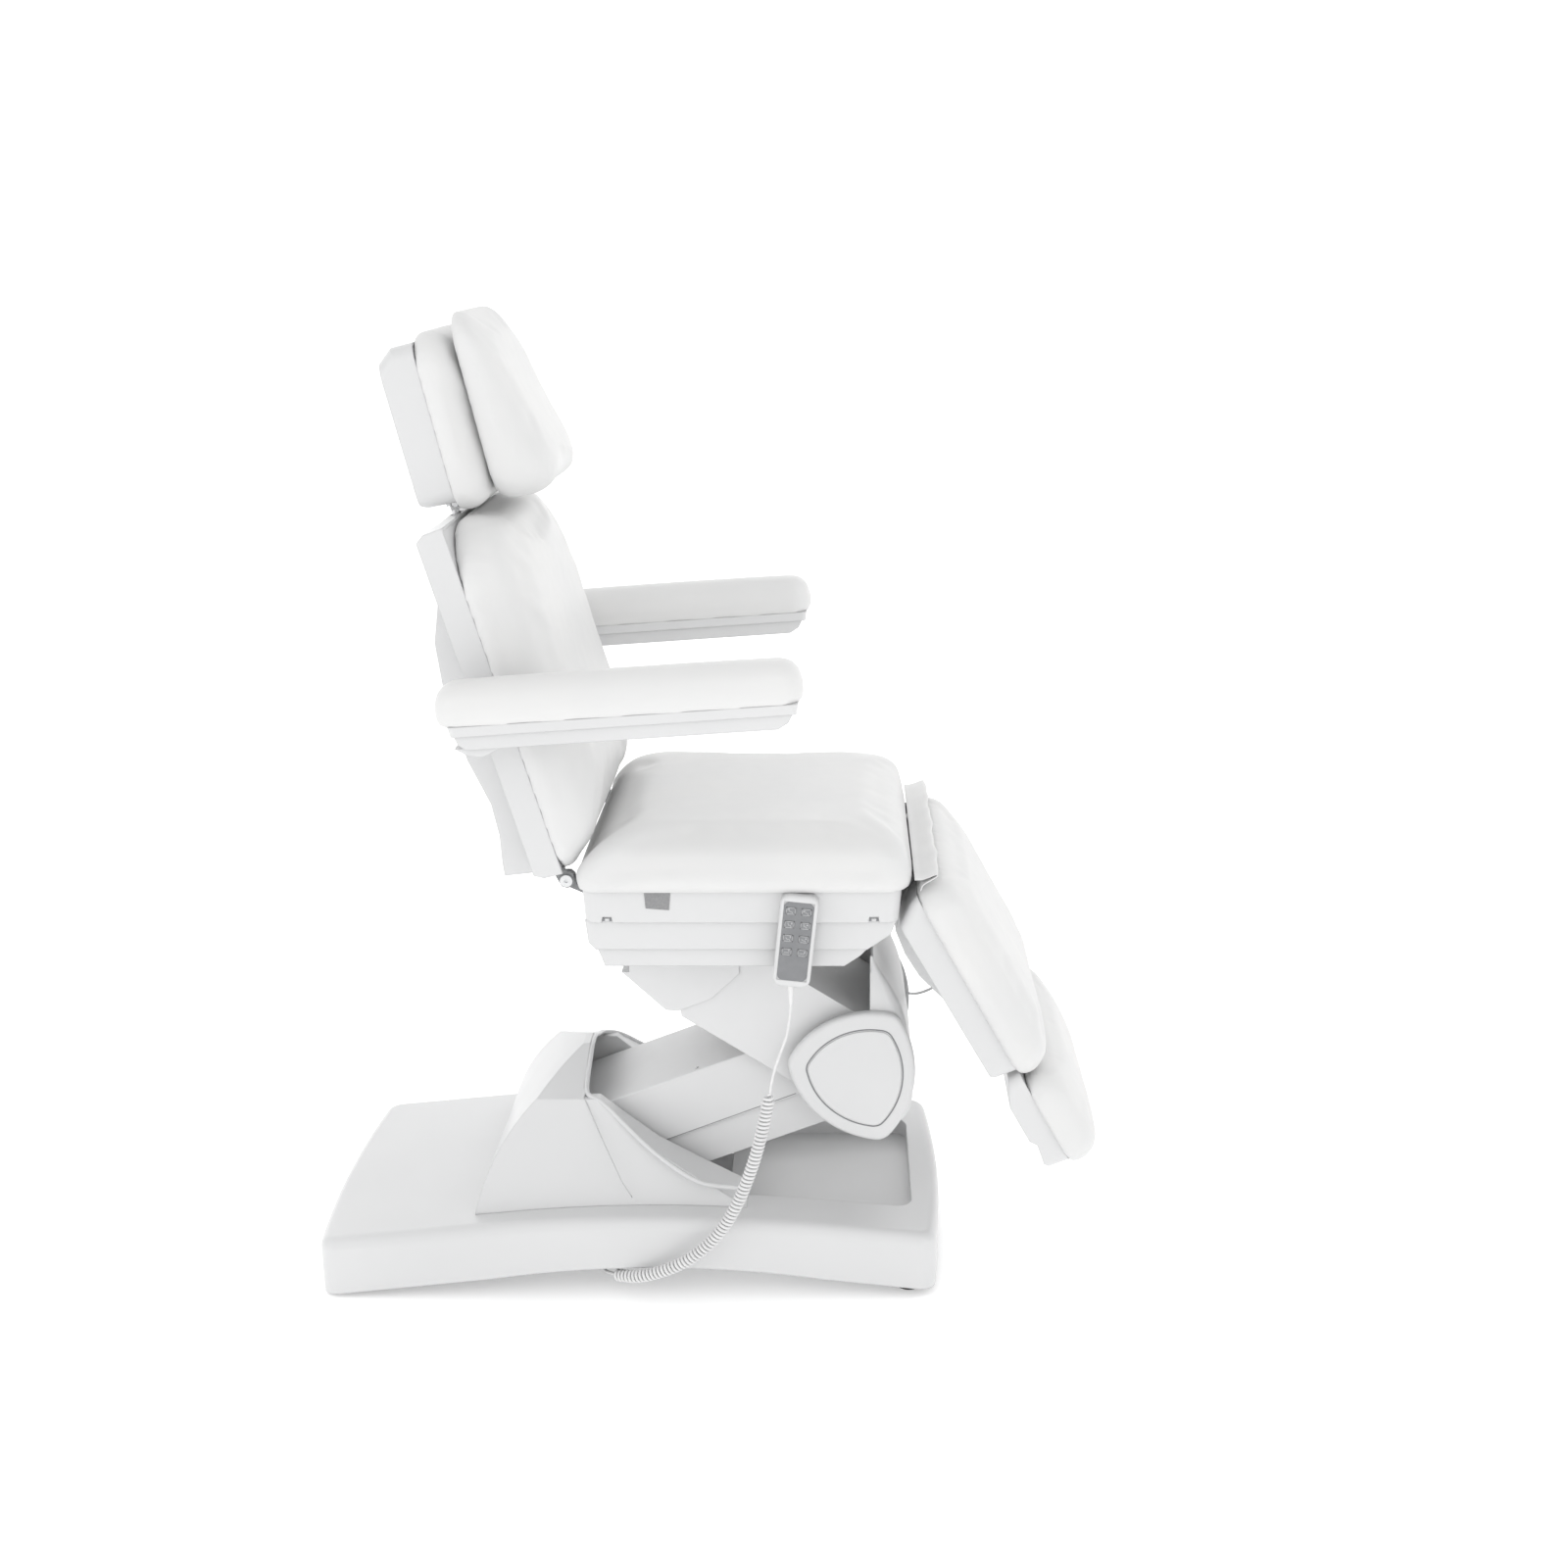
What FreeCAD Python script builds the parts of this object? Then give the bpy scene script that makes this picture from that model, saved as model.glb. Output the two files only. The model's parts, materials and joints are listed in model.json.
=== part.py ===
import FreeCAD, Part
import math
import os

import Sketcher

# Pedicure and treatment chair, built as a set of separate pieces in one frame.
# X points from the backrest to the footrest, Z is up, the origin is on the floor under the
# middle of the chair. The pose is the one for sitting: back up, legrest down, seat high.
# Names that end in _x, _y or _z are places, half_ is a half width, and angles are degrees.

SIZES = {
    # base slab and the hood over the lower pivot
    "base_rear_x": 648, "base_front_x": 388, "base_half": 262, "base_end_bow": 0.06,
    "base_rear_low_z": 3, "base_front_low_z": 12, "arch_rear_x": 366, "arch_front_x": 200,
    "arch_low_z": 36, "arch_bow": 0.0795, "base_end_height": 101, "base_mid_height": 98,
    "shell_wall": 4, "base_edge_round": 20, "base_corner_round": 30,
    "pan_rear_x": 20, "pan_front_x": 352, "pan_half": 166, "pan_floor_z": 88,
    "slot_half": 118, "slot_rear_x": 318,
    "hood_rear_x": 392, "hood_front_x": 70, "hood_low_half": 214, "hood_ledge_half": 140,
    "hood_top_half": 20, "hood_ledge_z": 311, "hood_top_z": 362, "hood_mouth_x": 198,
    # chassis inside the base
    "rail_rear_x": 600, "rail_front_x": 372, "rail_low_z": 66, "rail_height": 30,
    "rail_inner": 196, "rail_width": 36, "cross_width": 34, "foot_radius": 22,
    "foot_height": 14, "stud_radius": 6, "foot_inset": 26,
    # lift linkage
    "lower_pivot_x": -198, "lower_pivot_z": 203, "lower_arm_length": 480, "lower_arm_angle": 21,
    "upper_arm_length": 321, "upper_arm_angle": 33, "link_step_x": 20, "link_step_z": 80,
    "upper_link_step_z": 50, "main_shaft_radius": 12, "link_shaft_radius": 9,
    "pin_clearance": 0.3, "open_pivot_clearance": 2.8,
    "arm_plate_inner": 93, "arm_plate_outer": 101, "arm_skin": 3,
    "knee_plate_inner": 106, "knee_plate_thick": 6, "upper_plate_inner": 119,
    "upper_plate_thick": 8, "upper_skin": 3, "boss_radius": 32, "link_boss_radius": 18,
    "lower_arm_top": 71, "lower_arm_bottom": 34, "upper_arm_top": 79, "upper_arm_bottom": 86,
    # knee covers
    "column_half": 150, "column_rear_x": 278, "column_top_z": 578, "column_round": 40,
    "knee_shaft_half": 133, "knee_cover_inner": 150.3, "knee_cover_outer": 163,
    "knee_cover_reach": 127,
    # seat
    "seat_rear_x": 182, "seat_front_x": 327, "seat_half": 262, "seat_seam_z": 735,
    "tray_step_one_z": 680, "tray_step_two_z": 631, "tray_low_z": 599, "tray_step": 9,
    "cushion_half": 282, "seat_cushion_height": 88, "tilt_axis_x": -100, "tilt_axis_z": 640,
    "frame_tube": 23, "frame_rail_outer": 210, "frame_rail_width": 30,
    # backrest
    "back_pivot_x": -206, "back_pivot_z": 746, "back_angle": 74, "back_length": 582,
    "back_half": 265, "back_cushion_height": 86, "back_corner": 118, "back_shell_half": 256,
    "back_belly_half": 216, "back_band": 45, "back_belly": 94,
    # headrest
    "head_length": 266, "head_half": 165, "head_cushion_height": 60, "head_shell_depth": 58,
    "head_lean": 3.4, "head_pivot_z": -8, "head_rise": 16, "head_rod_radius": 7,
    "head_rod_y": 60, "pillow_height": 90, "pillow_half": 150,
    # armrests
    "arm_pivot_along": 275, "arm_pivot_depth": 28, "arm_center_y": 339, "arm_width": 88,
    "arm_rear": 62, "arm_length": 488, "arm_rise": 4, "arm_seam": 32, "arm_pad_height": 62,
    "arm_shell_height": 38,
    # legrest and footrest
    "leg_pivot_x": 339, "leg_pivot_z": 740, "leg_angle": 61, "leg_start": 17, "leg_end": 391,
    "leg_half": 268, "leg_cushion_height": 69, "leg_shell_half": 252, "leg_shell_depth": 48,
    "leg_belly": 76, "leg_belly_half": 170, "foot_start": 398, "foot_end": 578,
    "foot_half": 262, "foot_cushion_height": 64, "foot_shell_depth": 42, "foot_rod_y": 90,
    # handset and its cord
    "handset_length": 154, "handset_width": 60, "handset_depth": 26, "handset_lean": 6.2,
    "handset_x": 166, "handset_top_z": 733, "handset_gap": 0.4,
    "key_width": 15, "key_height": 11, "key_pitch_x": 25, "key_pitch_z": 23, "key_depth": 6,
    "lead_radius": 2.2, "curl_radius": 7.6, "curl_wire_radius": 2.4,
    "cable_radius": 2.5,
}

DOC = FreeCAD.newDocument("TreatmentChair")
SHEET = DOC.addObject("Spreadsheet::Sheet", "Sizes")
for row, (alias, value) in enumerate(SIZES.items(), start=1):
    SHEET.set("A%d" % row, alias.replace("_", " "))
    SHEET.set("B%d" % row, str(value))
    SHEET.setAlias("B%d" % row, alias)
DOC.recompute()

NODES = []


class Size:
    """A value together with the sheet expression that it follows."""

    def __init__(self, value, text):
        self.value = float(value)
        self.text = text

    def __add__(self, other):
        other = as_size(other)
        return Size(self.value + other.value, "(%s + %s)" % (self.text, other.text))

    def __sub__(self, other):
        other = as_size(other)
        return Size(self.value - other.value, "(%s - %s)" % (self.text, other.text))

    def __mul__(self, other):
        other = as_size(other)
        return Size(self.value * other.value, "(%s * %s)" % (self.text, other.text))

    def __truediv__(self, other):
        other = as_size(other)
        return Size(self.value / other.value, "(%s / %s)" % (self.text, other.text))

    def __radd__(self, other):
        return as_size(other) + self

    def __rsub__(self, other):
        return as_size(other) - self

    def __rmul__(self, other):
        return as_size(other) * self

    def __neg__(self):
        return Size(-self.value, "(0 - %s)" % self.text)


def as_size(number):
    if isinstance(number, Size):
        return number
    return Size(number, "%.6f" % number)


def cosine(angle):
    angle = as_size(angle)
    return Size(math.cos(math.radians(angle.value)), "cos(%s * 1 deg)" % angle.text)


def sine(angle):
    angle = as_size(angle)
    return Size(math.sin(math.radians(angle.value)), "sin(%s * 1 deg)" % angle.text)


def root(size):
    return Size(math.sqrt(size.value), "sqrt(%s)" % size.text)


class Sheet:
    """Reads a named size of the sheet as a Size."""

    def __getattr__(self, alias):
        return Size(SHEET.get(alias), "Sizes.%s" % alias)


S = Sheet()


def bind(thing, path, size):
    thing.setExpression(path, as_size(size).text)


def swing(pivot, angle, along, up):
    """The place of a point given along and above a direction that dips by angle."""
    x = pivot[0] + along * cosine(angle) + up * sine(angle)
    z = pivot[1] - along * sine(angle) + up * cosine(angle)
    return x, z


# Sketches and features

def plane_of(body, role):
    return [plane for plane in body.Origin.OriginFeatures if plane.Role == role][0]


def new_body(label):
    body = DOC.addObject("PartDesign::Body", label)
    body.Label = label
    return body


def new_sketch(body, role, offset):
    sketch = body.newObject("Sketcher::SketchObject", body.Name + "_outline")
    sketch.AttachmentSupport = [(plane_of(body, role), "")]
    sketch.MapMode = "FlatFace"
    bind(sketch, ".AttachmentOffset.Base.z", offset)
    return sketch


def pin_point(sketch, geometry, position, x, y):
    for kind, size in (("DistanceX", as_size(x)), ("DistanceY", as_size(y))):
        index = sketch.addConstraint(
            Sketcher.Constraint(kind, -1, 1, geometry, position, size.value))
        bind(sketch, "Constraints[%d]" % index, size)


def draw_outline(sketch, corners):
    """Closed outline. A corner (x, y, bow) bows the side after it, bow = tan(turn / 4)."""
    corners = [tuple(as_size(part) for part in corner) for corner in corners]
    count = len(corners)
    ends = []
    for index, corner in enumerate(corners):
        following = corners[(index + 1) % count]
        start = FreeCAD.Vector(corner[0].value, corner[1].value, 0)
        stop = FreeCAD.Vector(following[0].value, following[1].value, 0)
        if len(corner) < 3:
            sketch.addGeometry(Part.LineSegment(start, stop), False)
            ends.append((1, 2))
            continue
        bow = corner[2]
        run = stop - start
        middle = (start + stop) * 0.5 + FreeCAD.Vector(run.y, -run.x, 0) * (bow.value / 2)
        circle = Part.Circle(start, middle, stop)
        center, radius = circle.Center, circle.Radius
        angles = [math.atan2(p.y - center.y, p.x - center.x) for p in (start, stop)]
        forward = bow.value > 0
        first, last = angles if forward else angles[::-1]
        if last < first:
            last += 2 * math.pi
        plain = Part.Circle(center, FreeCAD.Vector(0, 0, 1), radius)
        sketch.addGeometry(Part.ArcOfCircle(plain, first, last), False)
        ends.append((1, 2) if forward else (2, 1))
    for index in range(count):
        following = (index + 1) % count
        sketch.addConstraint(Sketcher.Constraint(
            "Coincident", index, ends[index][1], following, ends[following][0]))
    for index, corner in enumerate(corners):
        pin_point(sketch, index, ends[index][0], corner[0], corner[1])
    for index, corner in enumerate(corners):
        if len(corner) < 3:
            continue
        following = corners[(index + 1) % count]
        run_x = following[0] - corner[0]
        run_y = following[1] - corner[1]
        chord = root(run_x * run_x + run_y * run_y)
        size = corner[2] if corner[2].value > 0 else -corner[2]
        radius = chord * (size * size + 1) / (size * 4)
        number = sketch.addConstraint(Sketcher.Constraint("Radius", index, radius.value))
        bind(sketch, "Constraints[%d]" % number, radius)


def draw_circle(sketch, x, y, radius):
    x, y, radius = as_size(x), as_size(y), as_size(radius)
    center = FreeCAD.Vector(x.value, y.value, 0)
    index = sketch.addGeometry(
        Part.Circle(center, FreeCAD.Vector(0, 0, 1), radius.value), False)
    pin_point(sketch, index, 3, x, y)
    number = sketch.addConstraint(Sketcher.Constraint("Radius", index, radius.value))
    bind(sketch, "Constraints[%d]" % number, radius)


def extrude(body, sketch, length, symmetric, cut):
    kind = "PartDesign::Pocket" if cut else "PartDesign::Pad"
    feature = body.newObject(kind, body.Name + ("_cut" if cut else "_pad"))
    feature.Profile = sketch
    feature.SideType = "Symmetric" if symmetric else "One side"
    if cut:
        feature.Type = "Length"
        feature.Reversed = not symmetric
    bind(feature, "Length", length)
    return feature


def across(body, outline, width, cut=False, center=0):
    """Extrusion of an XZ outline, or of circles, to both sides of the plane y = center."""
    sketch = new_sketch(body, "XZ_Plane", -as_size(center))
    draw(sketch, outline)
    return extrude(body, sketch, width, True, cut)


def draw(sketch, outline):
    if isinstance(outline, list):
        draw_outline(sketch, outline)
    else:
        draw_circle(sketch, *outline)


def cheeks(body, outline, inner, outer, cut=False):
    """The same XZ outline on both sides, from the distance inner to outer."""
    for center in ((inner + outer) / 2, -(inner + outer) / 2):
        across(body, outline, outer - inner, cut, center)


def upright(body, outline, low, high, cut=False):
    """Extrusion of an XY outline between two heights."""
    low, high = as_size(low), as_size(high)
    sketch = new_sketch(body, "XY_Plane", (low + high) / 2)
    draw(sketch, outline)
    return extrude(body, sketch, high - low, True, cut)


def lengthwise(body, outline, rear, front, cut=False):
    """Extrusion of a YZ outline between two places along X."""
    rear, front = as_size(rear), as_size(front)
    sketch = new_sketch(body, "YZ_Plane", (rear + front) / 2)
    draw(sketch, outline)
    return extrude(body, sketch, front - rear, True, cut)


def rectangle(left, low, right, high):
    return [(left, low), (right, low), (right, high), (left, high)]


def block(body, rear, front, inner, outer, low, high, cut=False):
    """A box on both sides, or one across the middle when inner is None."""
    if inner is None:
        return across(body, rectangle(rear, low, front, high), outer * 2, cut)
    return cheeks(body, rectangle(rear, low, front, high), inner, outer, cut)


def edges_of(shape, wanted):
    return ["Edge%d" % (i + 1) for i, edge in enumerate(shape.Edges) if wanted(edge)]


def soften(body, radius, wanted):
    """Fillet on the edges of the body's last feature that the function picks."""
    DOC.recompute()
    last = body.Tip
    names = edges_of(last.Shape, wanted)
    fillet = body.newObject("PartDesign::Fillet", body.Name + "_fillet")
    fillet.Base = (last, names)
    bind(fillet, "Radius", radius)
    DOC.recompute()
    return fillet


def drawn_in(outline, wall):
    """The outline moved inwards by the wall at its ends and raised by the wall."""
    places = [as_size(corner[0]) for corner in outline]
    middle = (min(x.value for x in places) + max(x.value for x in places)) / 2
    inner = []
    for x, corner in zip(places, outline):
        x = x + wall if x.value < middle else x - wall
        inner.append((x, corner[1] + wall))
    return inner


def end_edges(half):
    """Picks the steep edges where the ends of an extrusion meet its sides."""
    def wanted(edge):
        box = edge.BoundBox
        side = abs(abs(box.YMax) - half.value) < 0.01 and box.YLength < 0.01
        return side and box.ZLength > 10 and box.ZLength > box.XLength * 0.8
    return wanted


def tub(label, tiers, wall):
    """Open tub from tiers of (outline, half width, corner radius), and the same drawn in."""
    forms = []
    for inset in (as_size(0), wall):
        body = new_body(label + ("_hollow" if inset.value else "_form"))
        for outline, half, corner in tiers:
            if inset.value:
                outline = drawn_in(outline, inset)
            across(body, outline, (half - inset) * 2)
            if corner:
                soften(body, corner - inset, end_edges(half - inset))
        forms.append(body)
    return combine("Cut", label + "_tub", forms[0], forms[1])


def runs_along(edge, axis):
    box = edge.BoundBox
    spans = {"X": box.XLength, "Y": box.YLength, "Z": box.ZLength}
    others = [span for name, span in spans.items() if name != axis]
    return spans[axis] > 1 and max(others) < 0.01


def stand(thing, x, z, angle=0, y=0):
    """Places a piece made flat about its own pivot at (x, z), dipped by angle."""
    thing.Placement = FreeCAD.Placement(
        FreeCAD.Vector(as_size(x).value, as_size(y).value, as_size(z).value),
        FreeCAD.Rotation(FreeCAD.Vector(0, 1, 0), as_size(angle).value))
    bind(thing, "Placement.Base.y", y)
    bind(thing, "Placement.Base.x", x)
    bind(thing, "Placement.Base.z", z)
    bind(thing, "Placement.Rotation.Angle", as_size(angle) * Size(1, "1 deg"))


def keep(thing, label):
    """Marks an object as one of the chair's pieces."""
    thing.Label = label
    NODES.append(thing)
    return thing


def combine(kind, label, first, second):
    result = DOC.addObject("Part::" + kind, label)
    result.Base = first
    result.Tool = second
    return result


def solid_feature(label, shape, x=0, z=0, angle=0, y=0):
    feature = DOC.addObject("Part::Feature", label)
    feature.Shape = shape
    stand(feature, x, z, angle, y)
    return keep(feature, label)


# Soft forms, lofted through rounded rectangles

def rounded_wire(rear, front, half, rear_round, front_round, height, lean=0.0, low_half=None):
    """Rounded rectangle at a height; lean raises its front, low_half narrows its front end."""
    front_half = half if low_half is None else low_half
    limit = 0.46 * min(front - rear, 2 * front_half)
    rear_round, front_round = min(rear_round, limit), min(front_round, limit)

    def point(x, y):
        return FreeCAD.Vector(x, y, height + (x - rear) * lean)

    def corner(x, y, sign_x, sign_y, radius):
        start = point(x, y - sign_y * radius)
        share = radius * (1 - math.sqrt(0.5))
        middle = point(x - sign_x * share, y - sign_y * share)
        stop = point(x - sign_x * radius, y)
        return start, middle, stop

    a = corner(front, front_half, 1, 1, front_round)
    b = corner(rear, half, -1, 1, rear_round)[::-1]
    c = corner(rear, -half, -1, -1, rear_round)
    d = corner(front, -front_half, 1, -1, front_round)[::-1]
    edges = []
    rounds = (a, b, c, d)
    for index, (start, middle, stop) in enumerate(rounds):
        edges.append(Part.Arc(start, middle, stop).toShape())
        edges.append(Part.LineSegment(stop, rounds[(index + 1) % 4][0]).toShape())
    return Part.Wire(edges)


SOFT_LAYERS = ((0, 7), (0.12, 1.5), (0.34, 0), (0.6, 4), (0.82, 16), (0.94, 36), (1, 70))


# Pivots of the lift linkage

LOWER = (S.lower_pivot_x, S.lower_pivot_z)
KNEE = swing(LOWER, -S.lower_arm_angle, S.lower_arm_length, 0)
LOWER_LINK = (LOWER[0] + S.link_step_x, LOWER[1] - S.link_step_z)
KNEE_LINK = (KNEE[0] + S.link_step_x, KNEE[1] - S.link_step_z)
TOP = swing(KNEE, S.upper_arm_angle, -S.upper_arm_length, 0)
KNEE_STAY = (KNEE[0] + S.link_step_x, KNEE[1] + S.upper_link_step_z)
TOP_STAY = (TOP[0] + S.link_step_x, TOP[1] + S.upper_link_step_z)
TILT = (S.tilt_axis_x, S.tilt_axis_z)
BACK = (S.back_pivot_x, S.back_pivot_z)
LEG = (S.leg_pivot_x, S.leg_pivot_z)


# Base

def base_profile(inset=0):
    """Side outline of the arched slab, drawn in by inset but open towards the floor."""
    low_drop = 60 if as_size(inset).value else 0
    rear = -S.base_rear_x + inset - 20
    front = S.base_front_x - inset + 20
    end = S.base_end_height - inset
    middle = S.base_mid_height - inset
    return [
        (rear, S.base_rear_low_z - low_drop),
        (-S.arch_rear_x, S.arch_low_z - low_drop, -S.arch_bow),
        (S.arch_front_x, S.arch_low_z - low_drop),
        (front, S.base_front_low_z - low_drop),
        (front, S.base_front_low_z + end),
        (S.arch_front_x, S.arch_low_z + middle, S.arch_bow * 0.58),
        (-S.arch_rear_x, S.arch_low_z + middle),
        (rear, S.base_rear_low_z + end),
    ]


def base_plan(inset=0):
    rear, front, half = -S.base_rear_x + inset, S.base_front_x - inset, S.base_half - inset
    return [(rear, -half), (front, -half, S.base_end_bow), (front, half),
            (rear, half, S.base_end_bow)]


def slab(name, inset, corner):
    side = new_body(name + "_side")
    across(side, base_profile(inset), S.base_half * 2 + 20)
    plan = new_body(name + "_plan")
    upright(plan, base_plan(inset), -80, 200)
    soften(plan, corner, lambda edge: runs_along(edge, "Z"))
    both = combine("Common", name, side, plan)
    DOC.recompute()
    return both


def hood_side(inset=0):
    """Side outline of the hood: steep back, mouth over the arm, and a lip that runs down."""
    low = S.arch_low_z + S.base_mid_height - 40
    mouth = -S.hood_mouth_x
    return [
        (-S.hood_rear_x + inset, low),
        (S.hood_front_x - inset * 2, low),
        (S.hood_front_x - inset * 2, low + 50),
        (mouth + 180, S.hood_ledge_z - 119 - inset * 1.2),
        (mouth + 112, S.hood_ledge_z - 80 - inset * 1.2),
        (mouth + 58, S.hood_ledge_z - 37 - inset * 1.2),
        (mouth + 14, S.hood_ledge_z - inset * 1.2),
        (mouth - 12, S.hood_ledge_z - inset * 1.2),
        (mouth, S.hood_top_z - inset),
        (mouth - 26, S.hood_top_z - 1 - inset, 0.21),
        (-S.hood_rear_x + inset, low + 40),
    ]


def hood_front(inset=0):
    low = S.arch_low_z + S.base_mid_height - 60
    return [
        (-S.hood_low_half + inset, low), (S.hood_low_half - inset, low),
        (S.hood_low_half - inset, low + 62), (S.hood_ledge_half - inset, S.hood_ledge_z),
        (S.hood_top_half + 44, S.hood_top_z - 19 - inset),
        (S.hood_top_half, S.hood_top_z - inset), (-S.hood_top_half, S.hood_top_z - inset),
        (-S.hood_top_half - 44, S.hood_top_z - 19 - inset),
        (-S.hood_ledge_half + inset, S.hood_ledge_z), (-S.hood_low_half + inset, low + 62),
    ]


def hood_form(name, inset):
    side = new_body(name + "_side")
    across(side, hood_side(inset), S.hood_low_half * 2)
    front = new_body(name + "_front")
    lengthwise(front, hood_front(inset), -S.hood_rear_x - 20, S.hood_front_x + 20)
    both = combine("Common", name, side, front)
    DOC.recompute()
    return both


def round_rim(name, form, inset):
    """Rounds the edge all round the slab's top, but not the creases across it."""
    result = DOC.addObject("Part::Fillet", name)
    result.Base = form
    radius = (S.base_edge_round - inset).value
    half = (S.base_half - inset).value
    picked = []
    for index, edge in enumerate(form.Shape.Edges):
        middle = edge.valueAt((edge.FirstParameter + edge.LastParameter) / 2)
        box = edge.BoundBox
        level = middle.z > 85 and box.ZLength < 40
        beside = abs(middle.y) > half - 30
        endwise = box.YLength > half and box.XLength > 5
        if level and (beside or endwise):
            picked.append((index + 1, radius, radius))
    result.Edges = picked
    DOC.recompute()
    return result


def make_base_cover():
    outer = slab("slab_outer", as_size(0), S.base_corner_round)
    rounded = round_rim("slab_rounded", outer, as_size(0))
    core = slab("slab_core", S.shell_wall, S.base_corner_round - S.shell_wall)
    inner = round_rim("slab_inner", core, S.shell_wall)
    pan = new_body("pan_block")
    block(pan, S.pan_rear_x - S.shell_wall, S.pan_front_x + S.shell_wall, None,
          S.pan_half + S.shell_wall, S.pan_floor_z - S.shell_wall, 190)
    cavity = combine("Cut", "slab_cavity", inner, pan)
    shell = combine("Cut", "slab_shell", rounded, cavity)
    well = new_body("pan_well")
    block(well, S.pan_rear_x, S.pan_front_x, None, S.pan_half, S.pan_floor_z, 200)
    soften(well, 30, lambda edge: runs_along(edge, "Z"))
    block(well, -S.slot_rear_x, S.pan_rear_x + 10, None, S.slot_half,
          S.pan_floor_z - S.shell_wall - 1, 200)
    x, y, z = inlet_place()
    lengthwise(well, rectangle(y - 0.3, z - 0.3, y + 48.3, z + 27.3), x - 6, x + 30)
    keep(combine("Cut", "base_cover", shell, well), "base_cover")
    DOC.recompute()
    return outer


def make_arm_shroud(slab_solid):
    """Hood over the lower pivot, with solid cheeks beside the slot for the arm."""
    outer = hood_form("hood_outer", 0)
    inner = hood_form("hood_inner", S.shell_wall)
    hollow_zone = new_body("hood_zone")
    block(hollow_zone, -S.hood_rear_x - 30, -S.hood_mouth_x - 10, None, S.slot_half, 60, 420)
    under = combine("Common", "hood_under", inner, hollow_zone)
    shell = combine("Cut", "hood_shell", outer, under)
    slot = new_body("hood_slot")
    block(slot, -S.hood_mouth_x - 14, S.hood_front_x + 40, None, S.slot_half, 60, 420)
    opened = combine("Cut", "hood_opened", shell, slot)
    keep(combine("Cut", "arm_shroud", opened, slab_solid), "arm_shroud")
    DOC.recompute()


def make_base_frame():
    body = new_body("base_frame")
    low, high = S.rail_low_z, S.rail_low_z + S.rail_height
    outer = S.rail_inner + S.rail_width
    block(body, -S.rail_rear_x, S.rail_front_x, S.rail_inner, outer, low, high)
    plate = S.knee_plate_inner
    for rear in (-S.rail_rear_x, LOWER[0] - 88, LOWER[0] + 72):
        block(body, rear, rear + S.cross_width, None, outer - 2, low + 1, high - 1)
    block(body, S.pan_front_x - 52, S.pan_front_x - 16, None, outer - 2, low - 10,
          S.pan_floor_z - S.shell_wall)
    x, z = LOWER
    cheeks(body, [
        (x - 62, high - 12), (x + 86, high - 12), (x + 52, z - 20), (x + 30, z + 30),
        (x - 22, z + 34), (x - 36, z)], plate, plate + S.knee_plate_thick)
    across(body, (x, z, S.main_shaft_radius), (plate + S.knee_plate_thick) * 2)
    across(body, (LOWER_LINK[0], LOWER_LINK[1], S.link_shaft_radius), (plate + 2) * 2)
    keep(body, "base_frame")


def foot_places():
    middle = S.rail_inner + S.rail_width / 2
    for x in (-S.rail_rear_x + S.foot_inset, S.rail_front_x - S.foot_inset):
        for y in (-middle, middle):
            yield x, y


def make_feet():
    body = new_body("levelling_feet")
    for x, y in foot_places():
        upright(body, (x, y, S.foot_radius), 0, S.foot_height)
        upright(body, (x, y, S.stud_radius), S.foot_height - 1, S.rail_low_z)
    keep(body, "levelling_feet")


def inlet_place():
    """Outer lower corner of the mains inlet, just proud of the bowed rear wall."""
    y, z = as_size(40), as_size(44)
    bow = S.base_end_bow * S.base_half
    return -S.base_rear_x - bow * 0.9 - 2, y, z


def make_base_fittings():
    """Control box on the rear cross tubes, mains inlet in the rear wall, gland for the cord."""
    box = new_body("control_box")
    top = S.rail_low_z + S.rail_height - 1
    block(box, -S.rail_rear_x + 20, LOWER[0] - 140, None, 90, S.rail_low_z - 14, S.rail_low_z)
    block(box, -S.rail_rear_x + S.cross_width, LOWER[0] - 140, None, 90, S.rail_low_z - 14, top)
    soften(box, 5, lambda edge: runs_along(edge, "Z"))
    keep(box, "control_box")

    inlet = new_body("mains_inlet")
    wall, middle, low = inlet_place()
    lengthwise(inlet, rectangle(middle, low, middle + 48, low + 27), wall, wall + 7)
    lengthwise(inlet, rectangle(middle + 10, low + 3, middle + 38, low + 24), wall + 6,
               wall + 44)
    for y in (middle + 18, middle + 30):
        lengthwise(inlet, rectangle(y - 1, low + 10, y + 1, low + 17), wall - 2, wall + 14, True)
    keep(inlet, "mains_inlet")

    gland = new_body("cord_gland")
    x, y = CORD_END[0], CORD_END[1]
    upright(gland, (x, y, 9), CORD_END[2], S.rail_low_z)
    upright(gland, (x, y, 5), CORD_END[2] - 4, CORD_END[2] + 1)
    keep(gland, "cord_gland")


# Lift linkage

def eye(x, z, radius):
    """Flat sided outline for a boss round a pivot."""
    flat = radius * 0.4142
    return [(x - radius, z - flat), (x - flat, z - radius), (x + flat, z - radius),
            (x + radius, z - flat), (x + radius, z + flat), (x + flat, z + radius),
            (x - flat, z + radius), (x - radius, z + flat)]


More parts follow.
